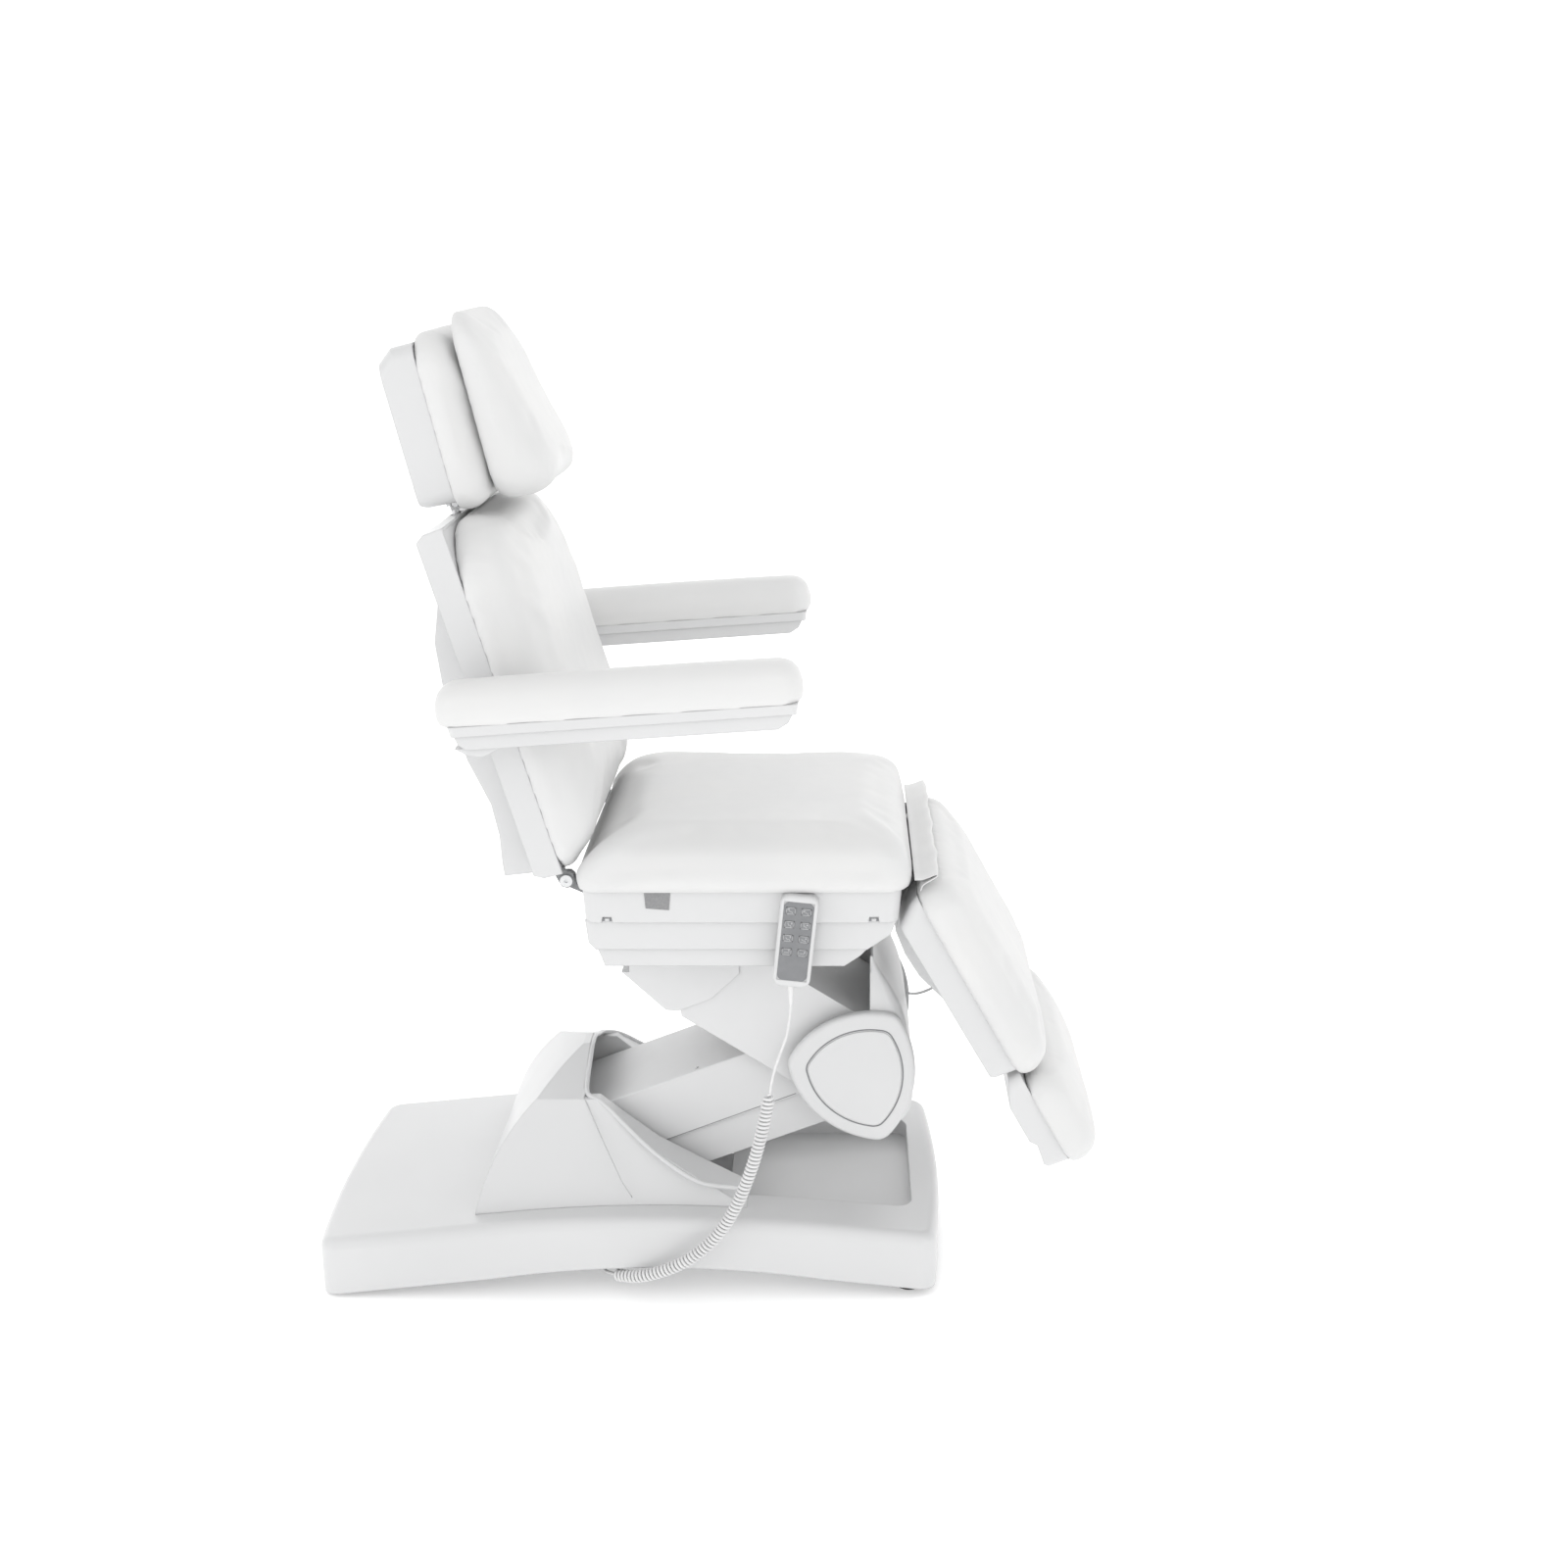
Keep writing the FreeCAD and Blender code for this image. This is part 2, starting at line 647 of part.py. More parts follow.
def make_lower_arm():
    """Welded box arm from the base pivot to the knee, open below for the link."""
    body = new_body("lower_arm")
    span, top, low = S.lower_arm_length, S.lower_arm_top, S.lower_arm_bottom
    inner, outer = S.arm_plate_inner, S.arm_plate_outer
    skin = S.arm_skin
    boss = S.boss_radius
    cheeks(body, [
        (-30, -boss), (24, -boss), (60, -16), (span - 60, -16), (span - 26, -boss + 2),
        (span + 18, -boss + 6), (span + 30, 0), (span + 14, boss - 4), (span - 50, top - skin),
        (-30, top - skin), (-44, 34), (-44, -12)], inner, outer)
    cheeks(body, [
        (-50, -low), (span - 40, -low), (span - 40, 30), (span - 76, top), (-34, top),
        (-50, 40)], outer, outer + skin)
    block(body, -30, span - 76, None, outer + skin, top - skin, top)
    for along, up in ((100, 30), (330, 40)):
        across(body, (along, up, 11), (inner + 2) * 2)
    clearance = S.pin_clearance
    across(body, (0, 0, S.main_shaft_radius + clearance), 300, True)
    across(body, (span, 0, S.main_shaft_radius + clearance), 300, True)
    soften(body, 3, lambda edge: runs_along(edge, "X") and
           abs(edge.BoundBox.ZMax - S.lower_arm_top.value) < 0.01 and
           abs(abs(edge.BoundBox.YMax) - (outer + skin).value) < 0.01)
    stand(body, LOWER[0], LOWER[1], -S.lower_arm_angle)
    keep(body, "lower_arm")


def make_lower_link():
    """Folded channel that runs parallel under the lower arm and closes it below."""
    body = new_body("lower_link")
    span, boss = S.lower_arm_length, S.link_boss_radius
    outer = S.arm_plate_outer - 3
    inner = outer - 3
    cheeks(body, [
        (-boss, -8), (-8, -boss), (8, -boss), (40, -14), (span - 40, -14), (span - 8, -boss),
        (span + 8, -boss), (span + boss, -8), (span + boss, 8), (span + 8, boss),
        (span - 8, boss), (span - 40, 14), (40, 14), (8, boss), (-8, boss), (-boss, 8)],
        inner - 8, inner)
    cheeks(body, [(120, -19), (span - 56, -19), (span - 56, 40), (span - 76, 58), (140, 58),
                  (120, 30)], inner, outer)
    block(body, 120, span - 56, None, outer, -19, -16)
    block(body, 120, span - 56, inner - 8, outer, -17, -10)
    for along in (0, span):
        across(body, (along, 0, S.link_shaft_radius + S.pin_clearance), 300, True)
    stand(body, LOWER_LINK[0], LOWER_LINK[1], -S.lower_arm_angle)
    keep(body, "lower_link")


def make_knee_frame():
    body = new_body("knee_frame")
    inner = S.knee_plate_inner
    outer = inner + S.knee_plate_thick
    x, z = KNEE
    across_plate = (x + 66, x + 74)
    cheeks(body, [
        (x - 28, z - 10), (x - 6, z - 86), (x + 10, z - 98), (x + 74, z - 98),
        (x + 74, z + 50), (x + 44, z + 64), (x + 8, z + 66), (x - 18, z + 30)], inner, outer)
    block(body, across_plate[0], across_plate[1], None, outer, z - 94, z + 46)
    across(body, (x, z, S.main_shaft_radius), S.knee_shaft_half * 2)
    across(body, (KNEE_LINK[0], KNEE_LINK[1], S.link_shaft_radius), outer * 2 - 4)
    across(body, (KNEE_STAY[0], KNEE_STAY[1], S.link_shaft_radius), outer * 2 - 4)
    keep(body, "knee_frame")


def column_form(name, inset):
    """Half-round plan sections, each reaching as far forward as the cover does at its height."""
    knee_x, knee_z = KNEE[0].value, KNEE[1].value
    top = S.column_top_z.value + (2 if inset else 0)
    rear = S.column_rear_x.value - (2 if inset else 0)
    half = S.column_half.value - inset
    levels = (
        (knee_z - 104 + inset, 86), (knee_z - 93, 96), (knee_z - 78, 101), (knee_z - 54, 103),
        (knee_z, 100), (knee_z + 60, 92), (top - 84, 75), (top - 34, 48), (top, 33))
    wires = []
    for height, reach in levels:
        front = knee_x + reach - inset
        rounding = min(S.column_round.value, 0.44 * (front - rear))
        wires.append(rounded_wire(rear, front, half, 1, rounding, height))
    form = DOC.addObject("Part::Feature", name)
    form.Shape = Part.makeLoft(wires, True, False)
    return form


def make_column_cover():
    """Front cover of the knee: a tall shell, rounded at its front corners, open behind."""
    outer = column_form("column_form", 0)
    inner = column_form("column_hollow", S.shell_wall.value)
    shell = combine("Cut", "column_shell", outer, inner)
    ribs = new_body("column_ribs")
    for height, reach in ((-60, 101), (16, 96)):
        block(ribs, KNEE[0] + 74, KNEE[0] + reach, None, 60, KNEE[1] + height,
              KNEE[1] + height + 6)
    keep(combine("Fuse", "column_cover", shell, ribs), "column_cover")


def knee_outline(center_x, center_z, reach):
    """Rounded triangle: three bowed sides between corners at the same distance."""
    corners = []
    for turn in (168, 62, -72):
        corners.append((center_x + reach * math.cos(math.radians(turn)),
                        center_z + reach * math.sin(math.radians(turn))))
    return [corners[0] + (-0.36,), corners[1] + (-0.36,), corners[2] + (-0.36,)]


def make_knee_covers():
    """Two dished covers over the ends of the knee shaft, with a raised panel each."""
    body = new_body("knee_side_covers")
    x, z = KNEE[0] + 13, KNEE[1] - 12
    inner, outer = S.knee_cover_inner, S.knee_cover_outer
    reach, wall = S.knee_cover_reach, S.shell_wall
    cheeks(body, knee_outline(x, z, reach), inner, outer)
    soften(body, 30, lambda edge: runs_along(edge, "Y"))
    soften(body, 7, lambda edge: abs(abs(edge.BoundBox.YMax) - outer.value) < 0.01
           and edge.BoundBox.YLength < 0.01)
    cheeks(body, knee_outline(x, z, reach - 8), inner - 1, outer - wall, True)
    cheeks(body, (KNEE[0], KNEE[1], 19), S.knee_shaft_half + 0.3, outer - wall + 1)
    cheeks(body, knee_outline(x + 1, z - 1, reach - 34), outer - 1, outer + 2)
    soften(body, 20, lambda edge: runs_along(edge, "Y") and 1.5 < edge.BoundBox.YLength < 2.5)
    keep(body, "knee_side_covers")


def make_upper_arm():
    """Welded arm from the knee to the seat support; it straddles the lower arm."""
    body = new_body("upper_arm")
    span, top, low = S.upper_arm_length, S.upper_arm_top, S.upper_arm_bottom
    inner = S.upper_plate_inner
    outer = inner + S.upper_plate_thick
    skin = S.upper_skin
    boss = S.boss_radius
    cheeks(body, [
        (-span - 26, -14), (-span - 8, -28), (-60, -30), (10, -boss), (boss, -6), (boss, 12),
        (14, boss), (-40, top - skin), (-150, top - skin), (-span - 6, 30), (-span - 26, 14)],
        inner, outer)
    cheeks(body, [
        (-span + 31, -low), (-60, -low), (-10, -low + 30), (30, -30), (34, 20), (2, top),
        (-span + 20, top), (-span - 29, 30), (-span - 29, -20)], outer, outer + skin)
    block(body, -150, -5, None, outer + skin, top - skin, top)
    across(body, (0, 0, S.main_shaft_radius + S.pin_clearance), 300, True)
    loose = S.link_shaft_radius + S.open_pivot_clearance
    across(body, (-span, 0, loose), 300, True)
    stand(body, KNEE[0], KNEE[1], S.upper_arm_angle)
    keep(body, "upper_arm")


def make_upper_link():
    """Pair of stays parallel to the upper arm, which keep the seat level."""
    body = new_body("upper_link")
    span, boss = S.upper_arm_length, 15
    cheeks(body, [
        (-span - boss, -6), (-span - 6, -boss), (-span + 12, -11), (-12, -11), (6, -boss),
        (boss, -6), (boss, 6), (6, boss), (-12, 11), (-span + 12, 11), (-span - 6, boss),
        (-span - boss, 6)], as_size(70), as_size(78))
    across(body, (-0.5 * span, 0, 6), 150)
    across(body, (0, 0, S.link_shaft_radius + S.pin_clearance), 300, True)
    across(body, (-span, 0, S.link_shaft_radius + S.open_pivot_clearance), 300, True)
    stand(body, KNEE_STAY[0], KNEE_STAY[1], S.upper_arm_angle)
    keep(body, "upper_link")


TILT_FOOT = (TOP[0] + 19, TOP[1] - 40)
TILT_HEAD = (as_size(190), S.tray_low_z + 51)


def make_seat_support():
    """Weldment at the top of the linkage: inner plates, shafts and the painted skirt."""
    body = new_body("seat_support")
    inner = S.knee_plate_inner
    outer = inner + S.knee_plate_thick
    x, z = TOP
    cheeks(body, [
        (TILT[0] - 24, TILT[1] + 20), (TILT[0] - 24, TILT[1] - 22), (x - 44, z + 16),
        (x - 36, z - 26), (x + 4, z - 62), (x + 36, z - 58), (x + 62, z + 20),
        (x + 56, z + 76), (TILT[0] + 26, TILT[1] + 22)], inner, outer)
    skirt = S.upper_plate_inner + S.upper_plate_thick + S.upper_skin + 1
    cheeks(body, [
        (x - 119, z - 7), (x - 47, z - 76), (x - 27, z - 78), (x + 30, z - 56), (x + 78, z - 10),
        (x + 78, S.tray_low_z - 8), (x - 106, S.tray_low_z - 8), (x - 106, z - 7)],
        skirt, skirt + 3)
    across(body, [
        (x - 119, z - 7), (x - 47, z - 76), (x - 45, z - 73), (x - 111, z - 10),
        (x - 103, z - 10), (x - 103, S.tray_low_z - 8), (x - 106, S.tray_low_z - 8),
        (x - 106, z - 7)], skirt * 2 + 6)
    across(body, (x, z, S.link_shaft_radius), skirt * 2 + 2)
    across(body, (TOP_STAY[0], TOP_STAY[1], S.link_shaft_radius), outer * 2 - 2)
    across(body, (TILT[0], TILT[1], S.link_shaft_radius), outer * 2 + 20)
    across(body, (TILT_FOOT[0], TILT_FOOT[1], 7), outer * 2 - 2)
    keep(body, "seat_support")


# Actuators: a motor housing with a tube, and a rod that slides in it

def make_actuator(name, foot, head, center_y, tube, rod, motor_from, motor_side, foot_pin,
                  head_pin, play):
    """Housing with its eye at foot and a rod whose eye is at head, made flat along X."""
    run_x, run_z = head[0] - foot[0], head[1] - foot[1]
    length = root(run_x * run_x + run_z * run_z)
    angle = math.degrees(math.atan2(-run_z.value, run_x.value))
    turn = Size(angle, "atan2(%s; %s) / 1 deg" % ((-run_z).text, run_x.text))
    housing = new_body(name + "_actuator")
    reach = length * 0.6
    across(housing, eye(as_size(0), as_size(0), foot_pin + 8), 22, False, center_y)
    sketch = new_sketch(housing, "YZ_Plane", (reach + 20) / 2)
    draw_circle(sketch, center_y, 0, tube)
    extrude(housing, sketch, reach - 28, True, False)
    across(housing, rectangle(0, -(foot_pin + 5), 30, foot_pin + 5), 22, False, center_y)
    across(housing, rectangle(as_size(motor_from), tube * 0.5 * motor_side,
                              as_size(motor_from) + 52, (tube + 30) * motor_side)
           if motor_side > 0 else
           rectangle(as_size(motor_from), (tube + 30) * motor_side,
                     as_size(motor_from) + 52, tube * 0.5 * motor_side),
           tube * 1.7, False, center_y)
    sketch = new_sketch(housing, "YZ_Plane", (reach + 30) / 2 + 20)
    draw_circle(sketch, center_y, 0, rod + S.pin_clearance)
    extrude(housing, sketch, reach, True, True)
    across(housing, (0, 0, foot_pin + S.pin_clearance), 60, True, center_y)
    soften(housing, 4, lambda edge: runs_along(edge, "X") and
           abs(edge.BoundBox.ZMax) > tube.value + 20)
    stand(housing, foot[0], foot[1], turn)
    keep(housing, name + "_actuator")

    slider = new_body(name + "_rod")
    sketch = new_sketch(slider, "YZ_Plane", (reach * 0.75 + length) / 2 - 4)
    draw_circle(sketch, center_y, 0, rod)
    extrude(slider, sketch, length - reach * 0.75 - 14, True, False)
    across(slider, eye(length, as_size(0), head_pin + play + 6), 14, False, center_y)
    across(slider, (length, 0, head_pin + play), 60, True, center_y)
    stand(slider, foot[0], foot[1], turn)
    keep(slider, name + "_rod")


BACK_FOOT = (as_size(150), S.seat_seam_z - 97)
BACK_LEVER = (as_size(11), as_size(-47))
BACK_HEAD = swing(BACK, S.back_angle, BACK_LEVER[0], BACK_LEVER[1])
LEG_FOOT = (as_size(60), S.seat_seam_z - 59)
LEG_LEVER = (as_size(28), as_size(-28))
LEG_HEAD = swing(LEG, S.leg_angle, LEG_LEVER[0], LEG_LEVER[1])
ACTUATOR_Y = as_size(75)


def make_actuators():
    """The play in each rod's eye takes up how far its true path is from a straight ratio."""
    foot_pin, pin = as_size(7), as_size(5)
    make_actuator("lift", LOWER_LINK, KNEE, 0, as_size(24), as_size(10), 40, 1,
                  S.link_shaft_radius, S.main_shaft_radius, 1.2)
    make_actuator("tilt", TILT_FOOT, TILT_HEAD, 0, as_size(19), as_size(7), 88, -1, foot_pin,
                  as_size(7), 1.2)
    make_actuator("back", BACK_FOOT, BACK_HEAD, ACTUATOR_Y, as_size(19), as_size(7), 40, -1,
                  foot_pin, pin, 7)
    make_actuator("leg", LEG_FOOT, LEG_HEAD, -ACTUATOR_Y, as_size(19), as_size(7), 30, -1,
                  foot_pin, pin, 4.6)


# Seat

def make_seat_tray():
    """Stepped plastic tub under the seat cushion, with notches for hinges and levers."""
    seam, one, two, low = S.seat_seam_z, S.tray_step_one_z, S.tray_step_two_z, S.tray_low_z
    rear, front, step = -S.seat_rear_x, S.seat_front_x, S.tray_step
    shell = tub("seat_tray", [
        ([(rear, seam), (rear + 3, one), (front - 5, one), (front, seam)], S.seat_half, 22),
        ([(rear + 4, one + 1), (rear + 8, two + 12), (rear + 19, two), (front - 55, two),
          (front - 18, two + 26), (front - 9, one + 1)], S.seat_half - step, None),
        ([(rear + 20, two + 1), (rear + 32, low), (front - 92, low), (front - 66, two - 14),
          (front - 52, two + 1)], S.seat_half - step * 2, None)], S.shell_wall)
    gaps = new_body("seat_tray_gaps")
    opening = S.upper_plate_inner + S.upper_plate_thick + S.upper_skin + 12
    upright(gaps, rectangle(rear + 36, -opening, front - 90, opening), low - 2, low + 10)
    bracket = S.frame_rail_outer + 14
    block(gaps, rear - 3, rear + 20, bracket - 2, bracket + 12, seam - 34, seam + 2)
    block(gaps, front - 20, front + 4, as_size(143), as_size(155), seam - 34, seam + 2)
    across(gaps, rectangle(rear - 3, seam - 72, rear + 20, seam + 2), 40, False, ACTUATOR_Y)
    across(gaps, rectangle(front - 30, seam - 82, front + 4, seam + 2), 40, False, -ACTUATOR_Y)
    for x in (rear + 40, front - 45):
        across(gaps, [(x - 9, one - 1), (x + 9, one - 1), (x + 7, one + 10), (x - 7, one + 10)],
               4, False, -S.seat_half + 1)
    keep(combine("Cut", "seat_tray", shell, gaps), "seat_tray")


def make_seat_frame():
    body = new_body("seat_frame")
    high, low = S.seat_seam_z, S.seat_seam_z - S.frame_tube
    rear, front = -S.seat_rear_x + 17, S.seat_front_x - 9
    outer = S.frame_rail_outer
    block(body, rear, front, outer - S.frame_rail_width, outer, low, high)
    for start in (rear, TILT_HEAD[0] - 15, front - 46):
        block(body, start, start + 30, None, outer - 1, low + 0.5, high - 0.5)
    inner = S.knee_plate_inner + S.knee_plate_thick + 3
    cheeks(body, [(TILT[0] - 45, high - 4), (TILT[0] - 20, TILT[1] - 16),
                  (TILT[0] + 20, TILT[1] - 16), (TILT[0] + 60, high - 4)], inner, inner + 6)
    block(body, TILT[0] - 45, TILT[0] + 60, inner, outer - 2, high - 8, high - 2)
    cheeks(body, [(TILT_HEAD[0] - 14, high - 4), (TILT_HEAD[0] - 14, TILT_HEAD[1] - 12),
                  (TILT_HEAD[0] + 14, TILT_HEAD[1] - 12), (TILT_HEAD[0] + 14, high - 4)],
           as_size(13), as_size(19))
    across(body, (TILT_HEAD[0], TILT_HEAD[1], 7), 34)
    bracket = outer + 14
    cheeks(body, [
        (BACK[0] - 13, BACK[1] - 5), (BACK[0] - 5, BACK[1] - 13), (rear, low), (rear + 40, low),
        (rear + 40, high - 3), (BACK[0] + 14, high - 1), (BACK[0] + 12, BACK[1] + 6),
        (BACK[0] + 6, BACK[1] + 12), (BACK[0] - 6, BACK[1] + 12), (BACK[0] - 13, BACK[1] + 5)],
        bracket, bracket + 8)
    block(body, rear + 2, rear + 30, outer - 3, bracket + 2, low, high - 4)
    cheeks(body, [
        (front - 30, low + 2), (LEG[0] + 4, LEG[1] - 12), (LEG[0] + 12, LEG[1] - 4),
        (LEG[0] + 12, LEG[1] + 4), (LEG[0] + 4, LEG[1] + 10), (front - 4, high - 1),
        (front - 30, high - 1)], as_size(146), as_size(152))
    for (x, z), y in ((BACK_FOOT, ACTUATOR_Y), (LEG_FOOT, -ACTUATOR_Y)):
        for side in (-1, 1):
            across(body, [(x - 13, z - 11), (x + 13, z - 11), (x + 13, high - 4),
                          (x - 13, high - 4)], 5, False, y + side * 16)
        across(body, (x, z, 7), 32, False, y)
        block(body, x - 13, x + 13, None, outer - 2, high - 9, high - 1)
    across(body, (TILT[0], TILT[1], S.link_shaft_radius + S.pin_clearance), 300, True)
    across(body, (BACK[0], BACK[1], 6 + S.pin_clearance), 600, True)
    across(body, (LEG[0], LEG[1], 6 + S.pin_clearance), 400, True)
    keep(body, "seat_frame")


def make_seat_cushion():
    """Seat cushion: crowned, sides drawn in, its rear end sloped to meet the backrest."""
    rear, front = BACK[0].value + 12, S.seat_front_x.value + 18
    height, half = S.seat_cushion_height.value, S.cushion_half.value
    wires = []
    rear_slope = ((0, 6), (0.12, 6), (0.34, 9), (0.6, 22), (0.82, 40), (0.94, 60), (1, 94))
    for (share, inset), (_, slope) in zip(SOFT_LAYERS, rear_slope):
        wires.append(rounded_wire(rear + slope, front - inset, half - inset, 34, 46,
                                  height * share))
    shape = Part.makeLoft(wires, True, False)
    for side in (-1, 1):
        notch = Part.makeBox(46, 20, 18, FreeCAD.Vector(front - 30, side * 153.5 - 10, -1))
        shape = shape.cut(notch)
    solid_feature("seat_cushion", shape, 0, S.seat_seam_z)


def make_blank_tag():
    body = new_body("blank_tag")
    across(body, [(-80, S.seat_seam_z - 30), (-43, S.seat_seam_z - 33), (-40, S.seat_seam_z - 1),
                  (-82, S.seat_seam_z - 1)], 1.2, False, -S.seat_half - 0.6)
    keep(body, "blank_tag")


# Handset

def handset_point(across_x, down, drop_y=0):
    """A point of the handset's face, from its top middle, turned with its lean."""
    lean = S.handset_lean
    x = S.handset_x + across_x * cosine(lean) - down * sine(lean)
    z = S.handset_top_z - across_x * sine(lean) - down * cosine(lean)
    return x, z


def handset_box(left, top, right, low):
    return [handset_point(left, low), handset_point(right, low), handset_point(right, top),
            handset_point(left, top)]


def key_places():
    for row in range(4):
        for column in (-1, 1):
            yield (S.key_pitch_x / 2) * column, S.key_pitch_z * row + 24


HANDSET_BACK = -S.seat_half - S.handset_gap
HANDSET_FRONT = HANDSET_BACK - S.handset_depth


def handset_layer(body, box, rear_y, front_y, cut=False):
    rear_y, front_y = as_size(rear_y), as_size(front_y)
    return across(body, box, rear_y - front_y, cut, (rear_y + front_y) / 2)


def make_handset():
    half, length = S.handset_width / 2, S.handset_length
    shell = new_body("handset_shell")
    handset_layer(shell, handset_box(-half, 0, half, length), HANDSET_BACK, HANDSET_FRONT)
    soften(shell, 15, lambda edge: runs_along(edge, "Y"))
    soften(shell, 6, lambda edge: abs(edge.BoundBox.YMin - HANDSET_FRONT.value) < 0.01 and
           edge.BoundBox.YLength < 0.01)
    handset_layer(shell, handset_box(-half + 6, 9, half - 6, length - 12),
                  HANDSET_FRONT + 1.6, HANDSET_FRONT - 4, True)
    for x, down in key_places():
        box = handset_box(x - S.key_width / 2 - 0.5, down - S.key_height / 2 - 0.5,
                          x + S.key_width / 2 + 0.5, down + S.key_height / 2 + 0.5)
        handset_layer(shell, box, HANDSET_FRONT + 12, HANDSET_FRONT - 1, True)
    hole_x, hole_z = handset_point(0, length)
    socket = new_sketch(shell, "XY_Plane", hole_z)
    draw_circle(socket, hole_x, (HANDSET_BACK + HANDSET_FRONT) / 2, 3.2)
    extrude(shell, socket, 16, True, True)
    keep(shell, "handset_shell")

    panel = new_body("handset_panel")
    handset_layer(panel, handset_box(-half + 6.2, 9.2, half - 6.2, length - 12.2),
                  HANDSET_FRONT + 1.6, HANDSET_FRONT + 0.1)
    soften(panel, 10, lambda edge: runs_along(edge, "Y"))
    for x, down in key_places():
        box = handset_box(x - S.key_width / 2 - 0.4, down - S.key_height / 2 - 0.4,
                          x + S.key_width / 2 + 0.4, down + S.key_height / 2 + 0.4)
        handset_layer(panel, box, HANDSET_FRONT + 4, HANDSET_FRONT - 1, True)
    keep(panel, "handset_panel")

    for number, (x, down) in enumerate(key_places(), start=1):
        key = new_body("key_%d" % number)
        box = handset_box(x - S.key_width / 2, down - S.key_height / 2,
                          x + S.key_width / 2, down + S.key_height / 2)
        handset_layer(key, box, HANDSET_FRONT + S.key_depth, HANDSET_FRONT - 0.7)
        soften(key, 2, lambda edge: runs_along(edge, "Y"))
        keep(key, "key_%d" % number)


# Cords. Their points are chosen by hand, in millimetres.

CORD_Y = (HANDSET_BACK.value + HANDSET_FRONT.value) / 2
LEAD_TOP = handset_point(0, S.handset_length)
LEAD_POINTS = [
    (LEAD_TOP[0].value, CORD_Y, LEAD_TOP[1].value - 33.3),
    (LEAD_TOP[0].value - 3, CORD_Y, 500), (131, -277, 460), (119, -279, 424), (114, -281, 392)]
CURL_POINTS = [
    (114, -281, 391.6), (107, -284, 352), (95, -288, 300), (80, -291, 250), (60, -293, 198),
    (34, -294, 150), (2, -293, 112), (-36, -289, 82), (-78, -282, 61), (-112, -273, 48),
    (-138, -260, 42), (-156, -246, 38)]
CORD_END = (-176, -214, 52)
TAIL_POINTS = [(-152, -249, 39), (-162, -240, 36), (-173, -229, 33), (-176, -217, 34),
               (-176, -214, 41), (-176, -214, 47.7)]
CABLE_POINTS = [(292.1, 174, 644.9), (303, 174, 629.5), (311, 174, 590), (317, 174, 520),
                (323, 174, 436), (334, 174, 386), (358, 174, 368), (392, 174, 377),
                (426, 174, 401), (456.6, 174, 427.4)]


def rounded_path(points):
    """Straight runs joined by tangent arcs, as large as 0.45 of the shorter run allows."""
    corners = [FreeCAD.Vector(*point) for point in points]
    edges, radii, last = [], [], corners[0]
    for before, here, after in zip(corners, corners[1:], corners[2:]):
        into, out = here - before, after - here
        turn = into.getAngle(out)
        reach = 0.45 * min(into.Length, out.Length)
        radii.append(reach / math.tan(turn / 2))
        start = here - into.normalize() * reach
        stop = here + out.normalize() * reach
        bend = (start - here).normalize() + (stop - here).normalize()
        rise = radii[-1] / math.cos(turn / 2) - radii[-1]
        middle = here + bend.normalize() * rise
        edges.append(Part.LineSegment(last, start).toShape())
        edges.append(Part.Arc(start, middle, stop).toShape())
        last = stop
    edges.append(Part.LineSegment(last, corners[-1]).toShape())
    return Part.Wire(edges), min(radii)


def tube_along(label, points, radius):
    path, least = rounded_path(points)
    first = path.Edges[0]
    heading = first.tangentAt(first.FirstParameter)
    ring = Part.Wire(Part.makeCircle(radius, FreeCAD.Vector(*points[0]), heading))
    tube = path.makePipeShell([ring], True, False)
    section = math.pi * radius * radius * path.Length
    print("%s: length %.1f, least bend radius %.1f, volume over section %.4f" % (
        label, path.Length, least, tube.Volume / section))
    return tube


def make_cords():
    lead = tube_along("handset_lead", LEAD_POINTS, S.lead_radius.value)
    solid_feature("handset_lead", lead)
    fat = tube_along("curly_cord", CURL_POINTS, S.curl_radius.value + S.curl_wire_radius.value)
    tail = tube_along("curly_cord tail", TAIL_POINTS, S.curl_wire_radius.value)
    solid_feature("curly_cord", fat.fuse(tail))

    relief = new_body("strain_relief")
    x, z = LEAD_TOP[0], LEAD_TOP[1]
    sketch = new_sketch(relief, "XY_Plane", z - 1)
    draw_circle(sketch, x, CORD_Y, 5)
    low = new_sketch(relief, "XY_Plane", z - 33)
    draw_circle(low, x, CORD_Y, 3)
    loft = relief.newObject("PartDesign::AdditiveLoft", "relief_loft")
    loft.Profile = sketch
    loft.Sections = [low]
    keep(relief, "strain_relief")

    cable = tube_along("leg_cable", CABLE_POINTS, S.cable_radius.value)
    solid_feature("leg_cable", cable)


# Backrest, made flat: X runs from the pivot towards the seat, the seam plane is z = 0

